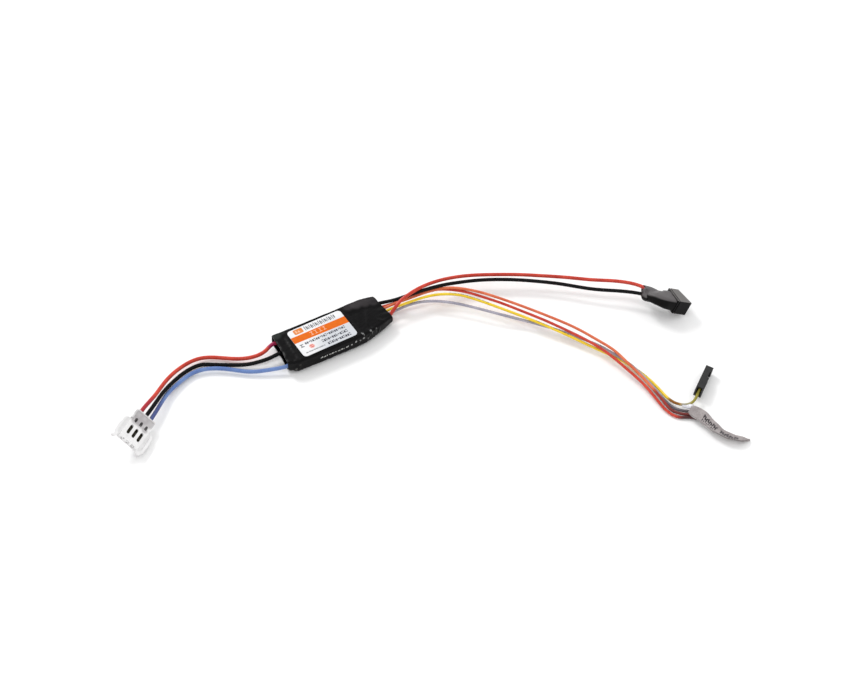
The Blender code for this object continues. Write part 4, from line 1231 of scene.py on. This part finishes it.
def tag_marks():
    """Strokes that spell nothing, as (along, across, to along, to across)."""
    marks = []
    for i in range(9):
        along = 0.22 + 0.030 * i
        marks.append((along, 0.20 + 0.05 * (i % 3), along + 0.018, 0.50 + 0.04 * (i % 3)))
        marks.append((along + 0.018, 0.24 + 0.14 * (i % 2), along + 0.028, 0.38 + 0.14 * (i % 2)))
        marks.append((along + 0.004, 0.58 + 0.05 * (i % 2), along + 0.020, 0.82 - 0.05 * (i % 3)))
    for i in range(8):
        along = 0.55 + 0.034 * i
        marks.append((along, 0.22 + 0.06 * (i % 3), along + 0.022, 0.70 + 0.05 * (i % 3)))
        marks.append((along + 0.022, 0.30 + 0.16 * (i % 2), along + 0.032, 0.52 + 0.16 * (i % 2)))
    return marks + [(0.06 + 0.03 * i, 0.90, 0.09 + 0.03 * i, 0.93) for i in range(26)]


def tag_print(ribbon):
    low, high = TAG_MARK_LIFTS
    bodies = []
    for a0, s0, a1, s1 in tag_marks():
        across = [s0 + (s1 - s0) * k / 3 for k in range(4)]
        bodies.append([[ribbon.point(a0, s, low), ribbon.point(a1, s, low),
                        ribbon.point(a1, s, high), ribbon.point(a0, s, high)] for s in across])
    return solids(bodies)


def build_tag(finishes):
    ribbon = Ribbon()
    rings = [fold_ring(ribbon, i / TAG_ROWS) for i in range(TAG_ROWS + 1)]
    item = piece("tag_folded_film", solids([rings]), finishes["tag"], ["lead_tag"])
    smooth(item, 50)
    piece("tag_print", tag_print(ribbon), finishes["tag_ink"])


# The clear film wrapped round the yellow wire where it leaves the tag: centre and half-width.
WRAP_STATIONS = [
    (81.4, -78.3, 1.3, 0.58), (81.9, -78.8, 1.3, 0.68),
    (82.6, -79.4, 1.4, 0.8), (83.2, -80.0, 1.6, 0.88),
    (83.8, -80.6, 1.8, 0.9),
]
WRAP_WALL = 0.12
WRAP_ROWS = 40
WRAP_STEPS = 40
WRAP_FLATNESS = 0.62
WRAP_BUMPS = [(0.16, 0.9), (0.06, 2.4)]


def build_wrap(finishes):
    rows, _ = natural_curve(WRAP_STATIONS, WRAP_ROWS)
    outer, inner = [], []
    for i, (x, y, z, half_width) in enumerate(rows):
        across, upward = level_sides(direction_at(rows, i))
        for rings, inset in ((outer, 0.0), (inner, WRAP_WALL)):
            ring = []
            for step in range(WRAP_STEPS):
                turn = 2 * math.pi * step / WRAP_STEPS
                c, s = math.cos(turn), math.sin(turn)
                spot = Vector((x, y, z)) + across * (half_width - inset) * c
                spot += upward * (half_width * WRAP_FLATNESS - inset) * s
                ring.append(spot + (across * c + upward * s) * bumps(spot, WRAP_BUMPS))
            rings.append(ring)
    item = piece("lead_wrap_film", open_tube(outer, inner), finishes["wrap"])
    smooth(item, 60)


# ---------------- wire print

# The wire, the runs of its print as distances along it, and how far round from the top it lies.
# Here the distances along the wire are in metres.
WIRE_PRINTS = [
    ("yellow", [(0.032, 0.045), (0.062, 0.074), (0.092, 0.103)], 0.3),
    ("grey", [(0.012, 0.036), (0.050, 0.066), (0.080, 0.096)], 0.5),
]
DASHES = (0.0005, 0.0003, 0.0008, 0.0004)
DASH_GAPS = (0.0004, 0.0003, 0.0006)
DASH_STEP = 0.0002
DASH_HALF_TURN = 0.22
DASH_LIFT = 0.012
DASH_DEPTH = 0.03


def dash_ring(spots, i, turn_centre):
    """The four corners of a dash's section on the insulation."""
    across, upward = level_sides(Vector(spots[i + 1]) - Vector(spots[i]))
    outside = SIGNAL_DIAMETER / 2 + DASH_LIFT
    inside = outside - DASH_DEPTH
    low, high = turn_centre - DASH_HALF_TURN, turn_centre + DASH_HALF_TURN
    return [Vector(spots[i]) + (upward * math.cos(angle) + across * math.sin(angle)) * radius
            for angle, radius in ((low, outside), (high, outside), (high, inside), (low, inside))]


def build_wire_print(finishes, colour, runs, turn_centre):
    """Short dark dashes along the insulation, in broken runs."""
    route = SIGNAL_ROUTES[colour]
    count = round(curve_length(route) * MM / DASH_STEP)
    spots, _ = natural_curve(route, count)
    bodies = []
    for place, high in runs:
        while place < high:
            dash = DASHES[len(bodies) % 4]
            first = int(place / DASH_STEP)
            last = min(count - 2, int((place + dash) / DASH_STEP) + 1)
            place += dash + DASH_GAPS[len(bodies) % 3]
            bodies.append([dash_ring(spots, i, turn_centre) for i in range(first, last + 1)])
    piece(f"signal_wire_{colour}_print", solids(bodies), finishes["tag_ink"])


# ---------------- all together

# The finish of each CAD node that stays in view, by a part of its name. The first that fits counts.
NODE_FINISHES = [
    ("circuit_board", "board"), ("resonator", "solder"), ("solder", "solder"),
    ("contact", "contact"), ("pin", "contact"), ("capacitor", "ceramic"), ("", "package"),
]


def finish_inner_nodes(finishes):
    for name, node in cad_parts.items():
        if not node.hide_render:
            paint(node, finishes[next(look for part, look in NODE_FINISHES if part in name)])


def main():
    finishes = make_finishes()
    build_stage()
    wires = build_wires(finishes)
    build_sleeve(finishes)
    build_label(finishes)
    build_side_print(finishes)
    build_motor_plug(finishes)
    build_battery_plug(finishes)
    build_plug_shrink(finishes)
    build_single_plug(finishes)
    build_tag(finishes)
    build_wrap(finishes)
    for colour, runs, turn_centre in WIRE_PRINTS:
        build_wire_print(finishes, colour, runs, turn_centre)
    finish_inner_nodes(finishes)


main()
